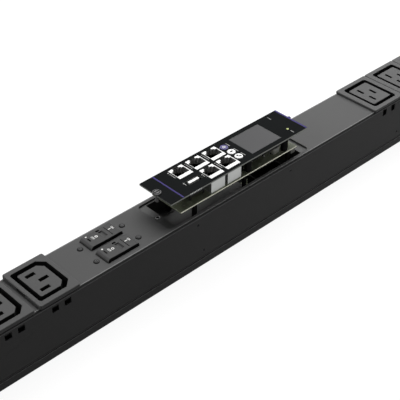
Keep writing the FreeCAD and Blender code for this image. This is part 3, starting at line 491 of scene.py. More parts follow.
def board_mask(colours):
    """Solder mask over copper: fine tracks, broad pours and tinned vias."""
    finish = Finish("board_mask")
    tracks = finish.node(
        "ShaderNodeTexBrick", {"offset": 0.37, "squash": 0.6, "squash_frequency": 3},
        {"Vector": finish.place, "Scale": 180.0, "Mortar Size": 0.045, "Mortar Smooth": 0.1,
         "Brick Width": 1.1, "Row Height": 0.16}, "Fac",
    )
    pours = finish.noise(11 * MM, 1.0).eased(0.47, 0.5)
    spots = finish.node(
        "ShaderNodeTexVoronoi", {"distance": "EUCLIDEAN"}, {"Vector": finish.place, "Scale": 320.0}
    )
    vias = 1.0 - spots.above(0.16)
    mask = finish.tint(colours.board_mask, 0.75 + 0.3 * pours + 0.3 * tracks)
    return finish.surface({
        "Base Color": finish.mix(vias, mask, (0.5, 0.5, 0.46)),
        "Metallic": 0.85 * vias,
        "Roughness": 0.34 + 0.1 * pours,
        "Specular IOR Level": 0.25,
        "Normal": finish.bump(tracks + pours, 0.03 * MM, 0.5),
    })


def board_edge(colours):
    """Sawn glass cloth and resin, in layers."""
    finish = Finish("board_edge")
    layers = finish.noise(0.25 * MM, 2.0, (20.0, 20.0, 1.0))
    return finish.surface({
        "Base Color": finish.tint(colours.board_edge, 0.8 + 0.4 * layers),
        "Metallic": 0.5,
        "Roughness": 0.4 + 0.2 * layers,
        "Normal": finish.bump(layers, 0.02 * MM, 0.6),
    })


def screen_glass(colours):
    """A resting grey screen under matt glass, with its dots just visible."""
    finish = Finish("screen_glass")
    dots = finish.node(
        "ShaderNodeTexChecker", None, {"Vector": finish.place, "Scale": 1.0 / (0.24 * MM)}, "Fac"
    )
    cloud = finish.noise(30 * MM)
    haze = finish.noise(0.3 * MM)
    return finish.surface({
        "Base Color": finish.tint(colours.screen, 0.94 + 0.06 * dots + 0.06 * cloud),
        "Roughness": 0.3 + 0.1 * haze,
        "Specular IOR Level": 0.06,
        "Normal": finish.bump(haze, 0.004 * MM, 0.4),
    })


def key_plastic(name, colour):
    """Smooth small mouldings, rubbed in places."""
    finish = Finish(name)
    grain = finish.noise(0.2 * MM, 2.0)
    wear_and_painted_light = finish.noise(2.5 * MM, 3.0)
    return finish.surface({
        "Base Color": finish.tint(colour, 0.93 + 0.1 * wear_and_painted_light),
        "Roughness": 0.36 + 0.16 * wear_and_painted_light,
        "Specular IOR Level": 0.35,
        "Normal": finish.bump(grain, 0.006 * MM, 0.5),
    })


def key_white(colours):
    return key_plastic("key_white", grey(0.88))


def key_violet(colours):
    return key_plastic("key_violet", colours.violet)


def pale_plastic(colours):
    return key_plastic("pale_plastic", (0.66, 0.66, 0.61))


def lamp_lens(colours):
    """Tinted clear plastic, lit faintly from behind."""
    finish = Finish("lamp_lens")
    swirl = finish.noise(0.7 * MM, 2.0)
    glow = finish.tint((0.3, 0.35, 0.05), 0.8 + 0.4 * swirl)
    return finish.surface({
        "Base Color": glow,
        "Roughness": 0.15 + 0.1 * swirl,
        "Emission Color": glow,
        "Emission Strength": 0.15,
    })


def ink(name, colour, specular=0.1):
    """Screen-printed ink, a little thin in places."""
    finish = Finish(name)
    cover = finish.noise(0.5 * MM, 3.0)
    return finish.surface({
        "Base Color": finish.tint(colour, 0.88 + 0.2 * cover),
        "Roughness": 0.5 + 0.15 * cover,
        "Specular IOR Level": specular,
        "Normal": finish.bump(cover, 0.005 * MM, 0.4),
    })


def white_ink(colours):
    return ink("white_ink", colours.ink)


def faint_ink(colours):
    return ink("faint_ink", [0.55 * part for part in colours.ink])


def violet_ink(colours):
    return ink("violet_ink", colours.violet)


def dark_ink(colours):
    return ink("dark_ink", grey(0.002), 0.02)


def finished(maker):
    """The material of that maker, made the first time it is asked for."""
    if maker not in finishes:
        finishes[maker] = maker(bpy.context.scene.unit_finish)
    return finishes[maker]


def body_of(node):
    return frame["nodes"][node]["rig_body"]


def middle_of(node):
    """Middle of a CAD node's box."""
    low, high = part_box(node)
    return (low + high) / 2


def crown_of(node):
    """Middle of the top of a CAD node's box."""
    low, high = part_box(node)
    return Vector(((low.x + high.x) / 2, (low.y + high.y) / 2, high.z))


def cover_top():
    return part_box("cover_channel")[1].z


def coat(maker, *nodes):
    """Gives CAD nodes that keep their own shape a finish."""
    for node in nodes:
        slots = frame["nodes"][node].data.materials
        slots.clear()
        slots.append(finished(maker))


def placed(name, mesh, *makers):
    piece = bpy.data.objects.new(name, mesh)
    bpy.context.scene.collection.objects.link(piece)
    if makers:
        mesh.materials.clear()
    for maker in makers:
        mesh.materials.append(finished(maker))
    return piece


def settle(piece, body, slot, *nodes):
    """Lets a finished piece ride on a body and hides the nodes that it stands for; the slot is not used.
    """
    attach(piece, body)
    if nodes:
        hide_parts(*nodes)
    return piece


def lay(name, mesh, maker, node, place):
    """Sets a thin mesh down at a place on a CAD node, and lets it ride with that node."""
    mesh.transform(Matrix.Translation(place))
    settle(placed(name, mesh, maker), body_of(node), NODE_SLOTS[node])


def plain_mesh(piece):
    """What a piece's modifiers give, as a mesh of its own."""
    bpy.context.view_layer.update()
    graph = bpy.context.evaluated_depsgraph_get()
    return bpy.data.meshes.new_from_object(
        piece.evaluated_get(graph), preserve_all_data_layers=True, depsgraph=graph
    )


def new_mesh(name, shell):
    """A smooth-shaded mesh from a bmesh."""
    for face in shell.faces:
        face.smooth = True
    mesh = bpy.data.meshes.new(name)
    shell.to_mesh(mesh)
    shell.free()
    return mesh


def shaped(name, shell, *makers):
    """A piece from a bmesh."""
    return placed(name, new_mesh(name, shell), *makers)


def shifted(shell, step):
    bmesh.ops.translate(shell, verts=shell.verts, vec=step)
    return shell


def round_edges(piece, width):
    """Rounds a piece's sharp edges and keeps the result as its mesh."""
    edge = piece.modifiers.new("edge", "BEVEL")
    edge.width = width
    edge.segments = 2
    edge.limit_method = "ANGLE"
    edge.angle_limit = SHARP_ANGLE
    edge.use_clamp_overlap = False
    shade = piece.modifiers.new("shade", "WEIGHTED_NORMAL")
    shade.weight = 100
    piece.data = plain_mesh(piece)
    piece.modifiers.clear()
    return piece


def merged_copy(node):
    """A CAD node's mesh with its loose triangles merged into whole faces."""
    shell = bmesh.new()
    shell.from_mesh(frame["nodes"][node].data)
    bmesh.ops.remove_doubles(shell, verts=shell.verts, dist=MERGE_REACH)
    bmesh.ops.dissolve_limit(shell, angle_limit=FLAT_ANGLE, verts=shell.verts, edges=shell.edges)
    return shell


def carve(piece, cutter):
    """Cuts a shell out of a piece."""
    tool = shaped(piece.name + "_cutter", cutter)
    cut = piece.modifiers.new("cut", "BOOLEAN")
    cut.object = tool
    cut.solver = "EXACT"
    piece.data = plain_mesh(piece)
    piece.modifiers.clear()
    bpy.data.objects.remove(tool)
    return piece


def dress(node, width, *makers, cutter=None):
    """A copy of a CAD node with rounded edges and finishes, which stands for the node."""
    piece = shaped(node + "_dressed", merged_copy(node), *makers)
    if cutter:
        carve(piece, cutter)
    round_edges(piece, width)
    return settle(piece, body_of(node), NODE_SLOTS[node], node)


def pick_finish(piece, test, maker):
    """Gives the faces whose centre and normal pass a test another of the piece's finishes."""
    names = [material.name for material in piece.data.materials]
    index = names.index(finished(maker).name)
    for face in piece.data.polygons:
        if test(face.center, face.normal):
            face.material_index = index


def within(offset, reach):
    """Whether an offset stays inside half sizes in X and Y."""
    return abs(offset.x) < reach.x and abs(offset.y) < reach.y


def islands(node):
    """Lowest and highest corner of each separate solid in a CAD node."""
    shell = bmesh.new()
    shell.from_mesh(frame["nodes"][node].data)
    bmesh.ops.remove_doubles(shell, verts=shell.verts, dist=MERGE_REACH)
    waiting = set(shell.verts)
    boxes = []
    while waiting:
        reached = [waiting.pop()]
        for vertex in reached:
            for edge in vertex.link_edges:
                other = edge.other_vert(vertex)
                if other in waiting:
                    waiting.remove(other)
                    reached.append(other)
        low = Vector([min(v.co[i] for v in reached) for i in range(3)])
        high = Vector([max(v.co[i] for v in reached) for i in range(3)])
        boxes.append((low, high))
    shell.free()
    return sorted(boxes, key=lambda corners: tuple(corners[0]))


def turned(profile, ring=False):
    """A closed solid turned round Z: (radius, height) points from axis to axis, or all round a ring."""
    shell = bmesh.new()
    rings = []
    for radius, height in profile:
        spots = polygon(radius, ROUND_STEPS) if radius > 0 else [(0, 0)]
        rings.append([shell.verts.new((x, y, height)) for x, y in spots])
    following = rings[1:] + rings[:1] if ring else rings[1:]
    for below, above in zip(rings, following):
        for i in range(ROUND_STEPS):
            j = (i + 1) % ROUND_STEPS
            low_side = [below[i % len(below)], below[j % len(below)]]
            high_side = [above[j % len(above)], above[i % len(above)]]
            unique = list(dict.fromkeys(low_side + high_side))
            if len(unique) > 2:
                shell.faces.new(unique)
    bmesh.ops.recalc_face_normals(shell, faces=shell.faces)
    return shell


def ring_shell(outer, inner, depth):
    """A flat closed ring."""
    return turned([(inner, 0), (outer, 0), (outer, depth), (inner, depth)], ring=True)


def prism_shell(corners, low, high):
    """A closed prism over (x, y) corners."""
    shell = bmesh.new()
    bottom = [shell.verts.new((x, y, low)) for x, y in corners]
    top = [shell.verts.new((x, y, high)) for x, y in corners]
    shell.faces.new(bottom)
    shell.faces.new(top)
    for i in range(len(corners)):
        j = (i + 1) % len(corners)
        shell.faces.new((bottom[i], bottom[j], top[j], top[i]))
    bmesh.ops.recalc_face_normals(shell, faces=shell.faces)
    return shell


def in_mm(points):
    return [(x * MM, y * MM) for x, y in points]


def polygon(radius, count):
    angles = [math.tau * i / count for i in range(count)]
    return [(radius * math.cos(angle), radius * math.sin(angle)) for angle in angles]


def rectangle(size_x, size_y):
    x, y = size_x / 2, size_y / 2
    return [(-x, -y), (x, -y), (x, y), (-x, y)]


def bar(size_x, size_y, depth):
    """A flat bar of ink, its sides in millimetres."""
    return prism_shell(rectangle(size_x * MM, size_y * MM), 0, depth)


def dot(radius, depth):
    """A flat round spot of ink, its radius in millimetres."""
    return prism_shell(polygon(radius * MM, 24), 0, depth)


class Maker(Graph):
    """A geometry node tree under construction, with its named inputs."""

    def __init__(self, name):
        super().__init__(bpy.data.node_groups.new(name, "GeometryNodeTree"))
        interface = self.tree.interface
        interface.new_socket("Geometry", in_out="INPUT", socket_type="NodeSocketGeometry")
        interface.new_socket("Geometry", in_out="OUTPUT", socket_type="NodeSocketGeometry")
        self.entry = self.tree.nodes.new("NodeGroupInput")
        self.exit = self.tree.nodes.new("NodeGroupOutput")
        self.start = Link(self, self.entry.outputs["Geometry"])

    def input(self, name, kind, default=None):
        item = self.tree.interface.new_socket(name, in_out="INPUT", socket_type="NodeSocket" + kind)
        if default is not None:
            item.default_value = default
        return Link(self, self.entry.outputs[name])

    def spin(self, angle):
        """A turn about Z."""
        return self.node("FunctionNodeAxisAngleToRotation", None, {"Axis": UP, "Angle": angle})

    def repeat(self, points, shape, **turns_and_sizes):
        """A shape set on every point."""
        values = {"Points": points, "Instance": shape, **turns_and_sizes}
        return self.node("GeometryNodeInstanceOnPoints", None, values)

    def wire(self, path, sides, radius):
        """A capped wire with a few sides along a path."""
        ring = self.node("GeometryNodeCurvePrimitiveCircle", None, {"Resolution": sides, "Radius": radius})
        values = {"Curve": path, "Profile Curve": ring, "Fill Caps": True}
        return self.node("GeometryNodeCurveToMesh", None, values)

    def moved(self, geometry, step):
        return self.node("GeometryNodeTransform", None, {"Geometry": geometry, "Translation": step})

    def close(self, geometry):
        finish = self.input("Finish", "Material")
        whole = self.node("GeometryNodeRealizeInstances", None, {"Geometry": geometry})
        coated = self.node("GeometryNodeSetMaterial", None, {"Geometry": whole, "Material": finish})
        self.feed(self.exit.inputs["Geometry"], coated)
        return self.tree


def grow(name, tree, start, maker, values):
    """Runs a tree on a start mesh and gives the plain mesh piece that it makes."""
    carrier = placed(name + "_start", start)
    growth = carrier.modifiers.new("grow", "NODES")
    growth.node_group = tree
    values = {**values, "Finish": finished(maker)}
    for item in tree.interface.items_tree:
        if item.in_out == "INPUT" and item.name in values:
            growth[item.identifier] = values[item.name]
    piece = placed(name, plain_mesh(carrier))
    bpy.data.objects.remove(carrier)
    return piece


def fixing_tree():
    """Sets a head on each point, aimed along the point's own direction and turned at random."""
    maker = Maker("fixings")
    head = maker.input("Head", "Object")
    turn = maker.input("Most turn", "Float", math.tau)
    seed = maker.input("Seed", "Int", 0)
    aim = maker.node("GeometryNodeInputNamedAttribute", {"data_type": "FLOAT_VECTOR"}, {"Name": AIM})
    facing = maker.node("FunctionNodeAlignRotationToVector", {"axis": "Z"}, {"Vector": aim})
    angle = maker.node(
        "FunctionNodeRandomValue", {"data_type": "FLOAT"}, {2: 0.0, 3: turn, "Seed": seed}, 1
    )
    turns = {"Rotation": facing, "Rotate By": maker.spin(angle)}
    rotation = maker.node("FunctionNodeRotateRotation", {"rotation_space": "LOCAL"}, turns)
    shape = maker.node("GeometryNodeObjectInfo", None, {"Object": head}, "Geometry")
    return maker.close(maker.repeat(maker.start, shape, Rotation=rotation))


def aimed_points(name, places):
    """A mesh of loose points, each with its own direction."""
    mesh = bpy.data.meshes.new(name)
    mesh.from_pydata([point for point, aim in places], [], [])
    aims = mesh.attributes.new(AIM, "FLOAT_VECTOR", "POINT")
    for item, (point, aim) in zip(aims.data, places):
        item.vector = aim
    return mesh


def set_heads(name, head, places, maker, tree, seed):
    """Heads on all the places, as one piece."""
    piece = grow(name, tree, aimed_points(name + "_points", places), maker, {"Head": head, "Seed": seed})
    bpy.data.objects.remove(head)
    return piece


def contact_row_tree():
    """A row of wires along X that all follow the path in the mesh it gets."""
    maker = Maker("contact_row")
    count = maker.input("Count", "Int", 8)
    pitch = maker.input("Pitch", "Float", MM)
    radius = maker.input("Wire radius", "Float", 0.2 * MM)
    path = maker.node("GeometryNodeMeshToCurve", None, {"Mesh": maker.start})
    step = maker.node("ShaderNodeCombineXYZ", None, {"X": pitch})
    line = maker.node("GeometryNodeMeshLine", None, {"Count": count, "Offset": step})
    return maker.close(maker.repeat(line, maker.wire(path, 6, radius)))


def path_mesh(name, points):
    mesh = bpy.data.meshes.new(name)
    mesh.from_pydata(points, [(i, i + 1) for i in range(len(points) - 1)], [])
    return mesh


def rib_ring_tree():
    """Copies of the rib in the mesh it gets, turned round Z about a centre."""
    maker = Maker("rib_ring")
    count = maker.input("Count", "Int", 24)
    centre = maker.input("Centre", "Vector")
    line = maker.node("GeometryNodeMeshLine", None, {"Count": count, "Offset": (0.0, 0.0, 0.0)})
    index = maker.node("GeometryNodeInputIndex")
    ribs = maker.repeat(line, maker.start, Rotation=maker.spin(index * math.tau / count))
    return maker.close(maker.moved(ribs, centre))


def thread_tree():
    """A screw thread: a ridge that climbs a helix from a starting point."""
    maker = Maker("thread")
    turns = maker.input("Turns", "Float", 6.0)
    pitch = maker.input("Pitch", "Float", 0.5 * MM)
    radius = maker.input("Radius", "Float", 1.5 * MM)
    ridge = maker.input("Ridge", "Float", 0.2 * MM)
    foot = maker.input("Foot", "Vector")
    helix = maker.node(
        "GeometryNodeCurveSpiral", None,
        {"Resolution": 20, "Rotations": turns, "Start Radius": radius, "End Radius": radius,
         "Height": turns * pitch},
    )
    return maker.close(maker.moved(maker.wire(helix, 4, ridge), foot))


def chip_tree():
    """Chip parts spread over the faces it gets, in quarter turns and a few sizes."""
    maker = Maker("board_chips")
    chip = maker.input("Chip", "Object")
    gap = maker.input("Gap", "Float", 2.3 * MM)
    seed = maker.input("Seed", "Int", 0)
    points = maker.node(
        "GeometryNodeDistributePointsOnFaces", {"distribute_method": "POISSON"},
        {"Mesh": maker.start, "Distance Min": gap, "Density Max": 1.0 / (1.4 * MM) ** 2, "Seed": seed},
    )
    quarter = maker.node("FunctionNodeRandomValue", {"data_type": "INT"}, {4: 0, 5: 3, "Seed": seed}, 2)
    spin = maker.spin(quarter * (math.pi / 2))
    size = maker.node("FunctionNodeRandomValue", {"data_type": "FLOAT"}, {2: 0.7, 3: 1.5, "Seed": seed}, 1)
    shape = maker.node("GeometryNodeObjectInfo", None, {"Object": chip}, "Geometry")
    return maker.close(maker.repeat(points, shape, Rotation=spin, Scale=size))


class CaseOperator(bpy.types.Operator):
    """Round and paint the folded case and its end caps"""

    bl_idname = "power_unit.case"
    bl_label = "Case"

    def execute(self, context):
        edges = context.scene.unit_edges
        dress("cover_channel", edges.sheet, case_paint)
        dress("base_tray", edges.sheet, case_paint)
        dress("end_cap_inlet", edges.cap, case_paint)
        dress("end_cap_plain", edges.cap, case_paint)
        coat(bright_steel, "mounting_nuts")
        return {"FINISHED"}


class FixingsOperator(bpy.types.Operator):
    """Set the rivets, cap screws and breaker screws"""

    bl_idname = "power_unit.fixings"
    bl_label = "Fixings"

    def execute(self, context):
        seed = context.scene.unit_details.seed
        tree = fixing_tree()
        rivets = head_places("case_rivets", 1)
        cap_screws = head_places("end_cap_screws", 0)
        breaker_screws = head_places("breaker_screws", 2, SLOTTED_HEIGHT)
        for name, head, places, maker, node in (
            ("case_rivet_heads", rivet_head(), rivets, dark_steel, "case_rivets"),
            ("end_cap_screw_heads", socket_head(), cap_screws, dark_steel, "end_cap_screws"),
            ("breaker_screw_heads", slotted_head(), breaker_screws, case_paint, "breaker_screws"),
        ):
            heads = set_heads(name, head, places, maker, tree, seed)
            settle(heads, "case", NODE_SLOTS[node], node)
        washer = lock_washer()
        washers = set_heads("breaker_screw_washers", washer, breaker_screws, black_plastic, tree, seed)
        settle(washers, "case", NODE_SLOTS["breaker_body_1"])
        return {"FINISHED"}


def rivet_head():
    """A flush blind rivet with its pulled pin set back in the middle."""
    pin = [(0, -0.7), (0.42, -0.7), (0.5, -0.12)]
    profile = pin + [(0.62, -0.02), (0.95, 0.02), (1.1, -0.1), (1.1, -1.2), (0, -1.2)]
    shell = turned(in_mm(profile))
    return shaped("rivet_head", shell)


def socket_head():
    """A countersunk head with a hexagon socket."""
    profile = [(0, -0.02), (2.6, -0.02), (2.76, -0.12), (1.45, -1.5), (1.45, -4.0), (0, -4.0)]
    shell = turned(in_mm(profile))
    socket = prism_shell(polygon(1.15 * MM, 6), -1.0 * MM, 1.0 * MM)
    return carve(shaped("socket_head", shell), socket)


def slotted_head():
    """A low domed head with a driver slot."""
    profile = [(0, 0.9), (0.75, 0.86), (1.3, 0.68), (1.6, 0.4), (1.72, 0), (1.2, 0), (1.2, -4), (0, -4)]
    shell = turned(in_mm(profile))
    slot = prism_shell(rectangle(6 * MM, 0.6 * MM), 0.4 * MM, 2 * MM)
    return carve(shaped("slotted_head", shell), slot)


def lock_washer():
    return shaped("lock_washer", ring_shell(2.15 * MM, 1.4 * MM, 0.25 * MM))


def head_places(node, axis, height=0.0):
    """Foot and outward direction of each head in a node whose fixings lie along one axis."""
    places = []
    for low, high in islands(node):
        foot = (low + high) / 2
        side = 1 if foot[axis] > 0 else -1
        outer = high if side > 0 else low
        foot[axis] = outer[axis] - side * height
        aim = Vector((0, 0, 0))
        aim[axis] = side
        places.append((foot, aim))
    return places


class OutletsOperator(bpy.types.Operator):
    """Round and finish the outlets"""

    bl_idname = "power_unit.outlets"
    bl_label = "Outlets"

    def execute(self, context):
        edges = context.scene.unit_edges
        for node in sorted(frame["nodes"]):
            if node.startswith(("c13_outlet", "c19_outlet")):
                slit = pry_slit(node) if node.startswith("c13") else None
                makers = (outlet_plastic, outlet_recess, latch_plastic, outlet_edge)
                outlet = dress(node, edges.moulding, *makers, cutter=slit)
                # Painted light on the outlet faces that look left.
                pick_finish(outlet, faces_left, outlet_edge)
                darken_recess(outlet, node)
                if slit:
                    darken_slit(outlet, node)
        return {"FINISHED"}


def faces_left(centre, normal):
    return normal.x < -0.6


def pry_slit(node):
    """Room for a screwdriver's tip under the left edge of an outlet's flange."""
    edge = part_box(node)[0].x
    outline = rectangle(2 * SLIT_REACH.x, 2 * SLIT_REACH.y)
    shell = prism_shell(outline, cover_top() - 0.5 * MM, cover_top() + SLIT_REACH.z)
    return shifted(shell, (edge, 0, 0))


def darken_slit(outlet, node):
    """Painted shade: black inside the slit under an outlet's flange."""
    skin = 0.15 * MM
    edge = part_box(node)[0].x
    low = cover_top()

    def in_slit(centre, normal):
        near = skin < centre.x - edge < SLIT_REACH.x + skin and abs(centre.y) < SLIT_REACH.y + skin
        return near and low < centre.z < low + SLIT_REACH.z + skin

    pick_finish(outlet, in_slit, latch_plastic)


def darken_recess(outlet, node):
    """Painted shade: darker moulding inside an outlet's mouth, and black in the case below its flange."""
    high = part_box(node)[1]
    middle = middle_of(node)
    rim = 1.5 * MM
    mouth = Vector((high.x - middle.x - rim, high.y - middle.y - rim))
    face = high.z - 0.45 * MM
    inner_top = cover_top() - 0.1 * MM

    def in_mouth(centre, normal):
        return within(centre - middle, mouth) and centre.z < face

    def in_case(centre, normal):
        return centre.z < inner_top and not in_mouth(centre, normal)

    pick_finish(outlet, in_mouth, outlet_recess)
    pick_finish(outlet, in_case, latch_plastic)


class BreakersOperator(bpy.types.Operator):
    """Finish the breakers and print their rockers"""

    bl_idname = "power_unit.breakers"
    bl_label = "Breakers"

    def execute(self, context):
        edges = context.scene.unit_edges
        for number in (1, 2):
            coat(black_plastic, "breaker_body_%d" % number)
            rocker = "breaker_rocker_%d" % number
            moulded = dress(rocker, edges.moulding, breaker_plastic, black_plastic)
            blacken_rocker(moulded, rocker)
            print_rocker(rocker, context.scene.unit_details.print_depth)
        return {"FINISHED"}


def blacken_rocker(rocker, node):
    """Black on a rocker's long sides, and black as painted shade in the notch by its far edge."""
    crown = crown_of(node)
    notch_reach = Vector((2.2 * MM, 1.1 * MM))
    notch_place = Vector((0.5 * MM, 5.0 * MM))
    skin = 0.3 * MM

    def on_side(centre, normal):
        return abs(normal.y) > 0.8

    def in_notch(centre, normal):
        offset = (centre - crown).to_2d() - notch_place
        return within(offset, notch_reach) and centre.z < crown.z - skin

    pick_finish(rocker, on_side, black_plastic)
    # Painted shade: the notch's faces are black.
    pick_finish(rocker, in_notch, black_plastic)


def print_rocker(node, depth):
    """White marks and a dark dash on a rocker's sloping top."""
    slope = 0.3 / 26.8
    crest_x = -11.2 * MM
    marks = {
        white_ink: [
            (dot(0.65, depth), (-9.5, 4.8)),
            (across_text("OFF", 3.3 * MM, 1.6 * MM, depth), (-6.5, 1.05)),
            (ring_shell(1.1 * MM, 0.55 * MM, depth), (-3.7, 0.7)),
            (bar(2.2, 0.7, depth), (8.1, 1.05)),
            (across_text("ON", 2.8 * MM, 1.6 * MM, depth), (10.5, 1.0)),
        ],
        dark_ink: [(bar(1.1, 3.6, depth), (-9.7, 0.85))],
    }
    for maker, shells in marks.items():
        label = "%s_%s" % (node, maker.__name__)
        mesh = joined(label, shells)
        for vertex in mesh.vertices:
            vertex.co.z -= slope * (vertex.co.x - crest_x)
        lay(label, mesh, maker, node, crown_of(node))


def text_shell(text, depth):
    """Bold plain lettering a metre high and depth thick, as a closed mesh that reads along X."""
    curve = bpy.data.curves.new("lettering", "FONT")
    curve.body = text
    curve.align_x = "CENTER"
    curve.align_y = "CENTER"
    curve.offset = 0.025
    curve.extrude = depth / 2
    curve.resolution_u = 3
    carrier = placed("lettering", curve)
    mesh = plain_mesh(carrier)
    bpy.data.objects.remove(carrier)
    shell = bmesh.new()
    shell.from_mesh(mesh)
    bmesh.ops.remove_doubles(shell, verts=shell.verts, dist=MERGE_REACH)
    return shifted(shell, (0, 0, depth / 2))


def across_text(text, length, height, depth):
    """Lettering of a set size, centred, that reads across the unit towards its near edge."""
    shell = text_shell(text, depth)
    width = max(v.co.x for v in shell.verts) - min(v.co.x for v in shell.verts)
    rise = max(v.co.y for v in shell.verts) - min(v.co.y for v in shell.verts)
    bmesh.ops.scale(shell, verts=shell.verts, vec=(length / width, height / rise, 1.0))
    bmesh.ops.rotate(shell, verts=shell.verts, matrix=Matrix.Rotation(-math.pi / 2, 3, "Z"))
    return shell


def joined(name, shells):
    """One mesh from several shells, each moved to its (x, y) place in millimetres."""
    whole = bmesh.new()
    for shell, (x, y) in shells:
        part = bpy.data.meshes.new(name + "_part")
        shifted(shell, (x * MM, y * MM, 0)).to_mesh(part)
        shell.free()
        whole.from_mesh(part)
        bpy.data.meshes.remove(part)
    mesh = bpy.data.meshes.new(name)
    whole.to_mesh(mesh)
    whole.free()
    return mesh


class GlandOperator(bpy.types.Operator):
    """Finish the cable gland"""

    bl_idname = "power_unit.gland"
    bl_label = "Cable gland"

    def execute(self, context):
        edges = context.scene.unit_edges
        dress("gland_body", edges.cap, black_plastic)
        dress("gland_cap_nut", edges.cap, black_plastic)
        coat(gland_rubber, "gland_seal")
        coat(black_plastic, "gland_locknut")
        return {"FINISHED"}


class BayOperator(bpy.types.Operator):
    """Finish the module's bay and what shows inside the case"""

    bl_idname = "power_unit.bay"
    bl_label = "Bay"

    def execute(self, context):
        edges = context.scene.unit_edges
        dress("bay_frame", edges.sheet, bay_paint)
        dress("bay_insert", edges.small, bay_paint)
        insert_lip()
        coat(bay_paint, "bay_liner")
        coat(board_mask, "backplane_board")
        coat(black_plastic, "backplane_socket", "terminal_block", "current_sensor_1", "current_sensor_2")
        bars = ("neutral_bar", "earth_bar", "line_bar_c13", "line_bar_c19", "line_feed_bar")
        coat(contact_brass, *bars)
        return {"FINISHED"}


def insert_lip():
    """The bare polished lip of the threaded insert."""
    node = "bay_insert"
    mesh = new_mesh("bay_insert_lip", ring_shell(1.65 * MM, 1.4 * MM, 0.05 * MM))
    lay("bay_insert_lip", mesh, polished_steel, node, crown_of(node))


class FacePlateOperator(bpy.types.Operator):
    """Finish the module's face plate and print it"""

    bl_idname = "power_unit.face_plate"
    bl_label = "Face plate"

    def execute(self, context):
        depth = context.scene.unit_details.print_depth
        plate = dress("face_plate", context.scene.unit_edges.plate, plate_metal, overlay_film)
        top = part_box("face_plate")[1].z
        pick_finish(plate, lambda centre, normal: normal.z > 0.9 and centre.z > top - depth, overlay_film)
        print_plate("plate_stripes", stripes(depth), violet_ink)
        print_plate("plate_labels", labels(depth), faint_ink)
        return {"FINISHED"}


def print_plate(name, shells, maker):
    """Ink on the face plate; places count from the plate's left end and its middle line."""
    low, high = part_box("face_plate")
    lay(name, joined(name, shells), maker, "face_plate", (low.x, 0, high.z))


def stripes(depth):
    left = bar(1.15, 33.0, depth)
    right = bar(1.3, 33.0, depth)
    bump = dot(1.2, 0.8 * depth)
    return [(left, (12.2, 0)), (right, (138.1, 0)), (bump, (138.8, 2.4))]


def labels(depth):
    """A number and a fine rule beside each jack, and a short rule beside keys, lamp and port."""
    line = 0.4
    gap = 1.6
    jacks = [(23.1, 12.2, 8.2), (39.4, 12.2, 8.2), (55.8, 12.2, 8.2), (39.4, -5.4, 3.4), (55.8, -1.5, 8.2)]
    keys = [(79.0, 8.2, 4.4), (79.0, -0.4, 4.8), (79.0, -7.8, 5.0)]
    lamp = [(126.8, 11.4, 3.6), (126.6, -12.3, 3.4)]
    port = [(22.9, -5.6, 3.6)]
    marks = []
    for number, (x, y, length) in enumerate(jacks, 1):
        marks.append((across_text(str(number), 0.8 * MM, 1.1 * MM, depth), (x, y - line)))
        marks.append((bar(line, length - gap, depth), (x, y - (length + gap) / 2)))
    for x, y, length in keys + lamp + port:
        marks.append((bar(line, length, depth), (x, y)))
    marks.append((bar(1.5, 0.45, depth), (22.9, -5.0)))
    return marks


class JacksOperator(bpy.types.Operator):
    """Finish the network jacks and the port"""

    bl_idname = "power_unit.jacks"
    bl_label = "Jacks"

    def execute(self, context):
        edges = context.scene.unit_edges
        details = context.scene.unit_details
        tree = contact_row_tree()
        for number in range(1, 6):
            node = "rj45_jack_%d" % number
            makers = (jack_tin, jack_face, jack_lining)
            jack = dress(node, edges.shell, *makers, cutter=jack_flare(node))
            finish_jack(jack, node)
            jack_contacts(node, tree, details)
        port = dress("usb_port", edges.shell, port_steel, black_plastic, jack_face)
        finish_port(port)
        plate_ribs(tree)
        return {"FINISHED"}


def finish_port(port):
    """A black lining in the port's mouth, and a white tongue in it."""
    middle = middle_of("usb_port")
    tongue_middle = middle + Vector((0, 0.6 * MM, 0))
    mouth = Vector((6.3 * MM, 2.5 * MM))
    tongue = Vector((4.8 * MM, 1.3 * MM))
    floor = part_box("usb_port")[0].z + 3.2 * MM

    def in_mouth(centre, normal):
        return within(centre - middle, mouth) and centre.z > floor

    def on_tongue(centre, normal):
        return within(centre - tongue_middle, tongue) and centre.z > floor

    pick_finish(port, in_mouth, black_plastic)
    pick_finish(port, on_tongue, jack_face)


def plate_ribs(tree):
    """Finger ribs pressed in the near edge of the face plate."""
    low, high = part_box("face_plate")
    first = low.x + 18.6 * MM
    inset = 0.1 * MM
    points = [(first, low.y + inset, low.z + inset), (first, low.y + inset, high.z - inset)]
    values = {"Count": 8, "Pitch": 1.4 * MM, "Wire radius": 0.3 * MM}
    ribs = grow("plate_edge_ribs", tree, path_mesh("plate_rib_path", points), jack_tin, values)
    settle(ribs, "controller", NODE_SLOTS["face_plate"])


def jack_flare(node):
    """The wider entry of a jack's mouth, with its stepped keyway."""
    crown = crown_of(node)
    depth = 1.0 * MM
    right = [(5.7, -3.15), (5.7, 3.1), (3.95, 3.1), (3.95, 4.5), (2.5, 4.5), (2.5, 6.5)]
    left = [(-2.5, 6.5), (-2.5, 4.5), (-3.95, 4.5), (-3.95, 3.1), (-6.0, 3.1), (-6.0, -3.15)]
    shell = prism_shell(in_mm(right + left), crown.z - depth, crown.z + depth)
    return shifted(shell, (crown.x, crown.y, 0))


def finish_jack(jack, node):
    """White frame on a jack's face, and a grey lining in its mouth."""
    middle = middle_of(node)
    low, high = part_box(node)
    floor = low.z + MM
    face = high.z - 0.25 * MM
    mouth_x = 6.2 * MM
    mouth_near, mouth_far = -3.3 * MM, 6.55 * MM

    def on_face(centre, normal):
        return centre.z > face

    def in_mouth(centre, normal):
        offset = centre - middle
        inside = abs(offset.x) < mouth_x and mouth_near < offset.y < mouth_far
        return inside and floor < centre.z < face

    pick_finish(jack, on_face, jack_face)
    pick_finish(jack, in_mouth, jack_lining)


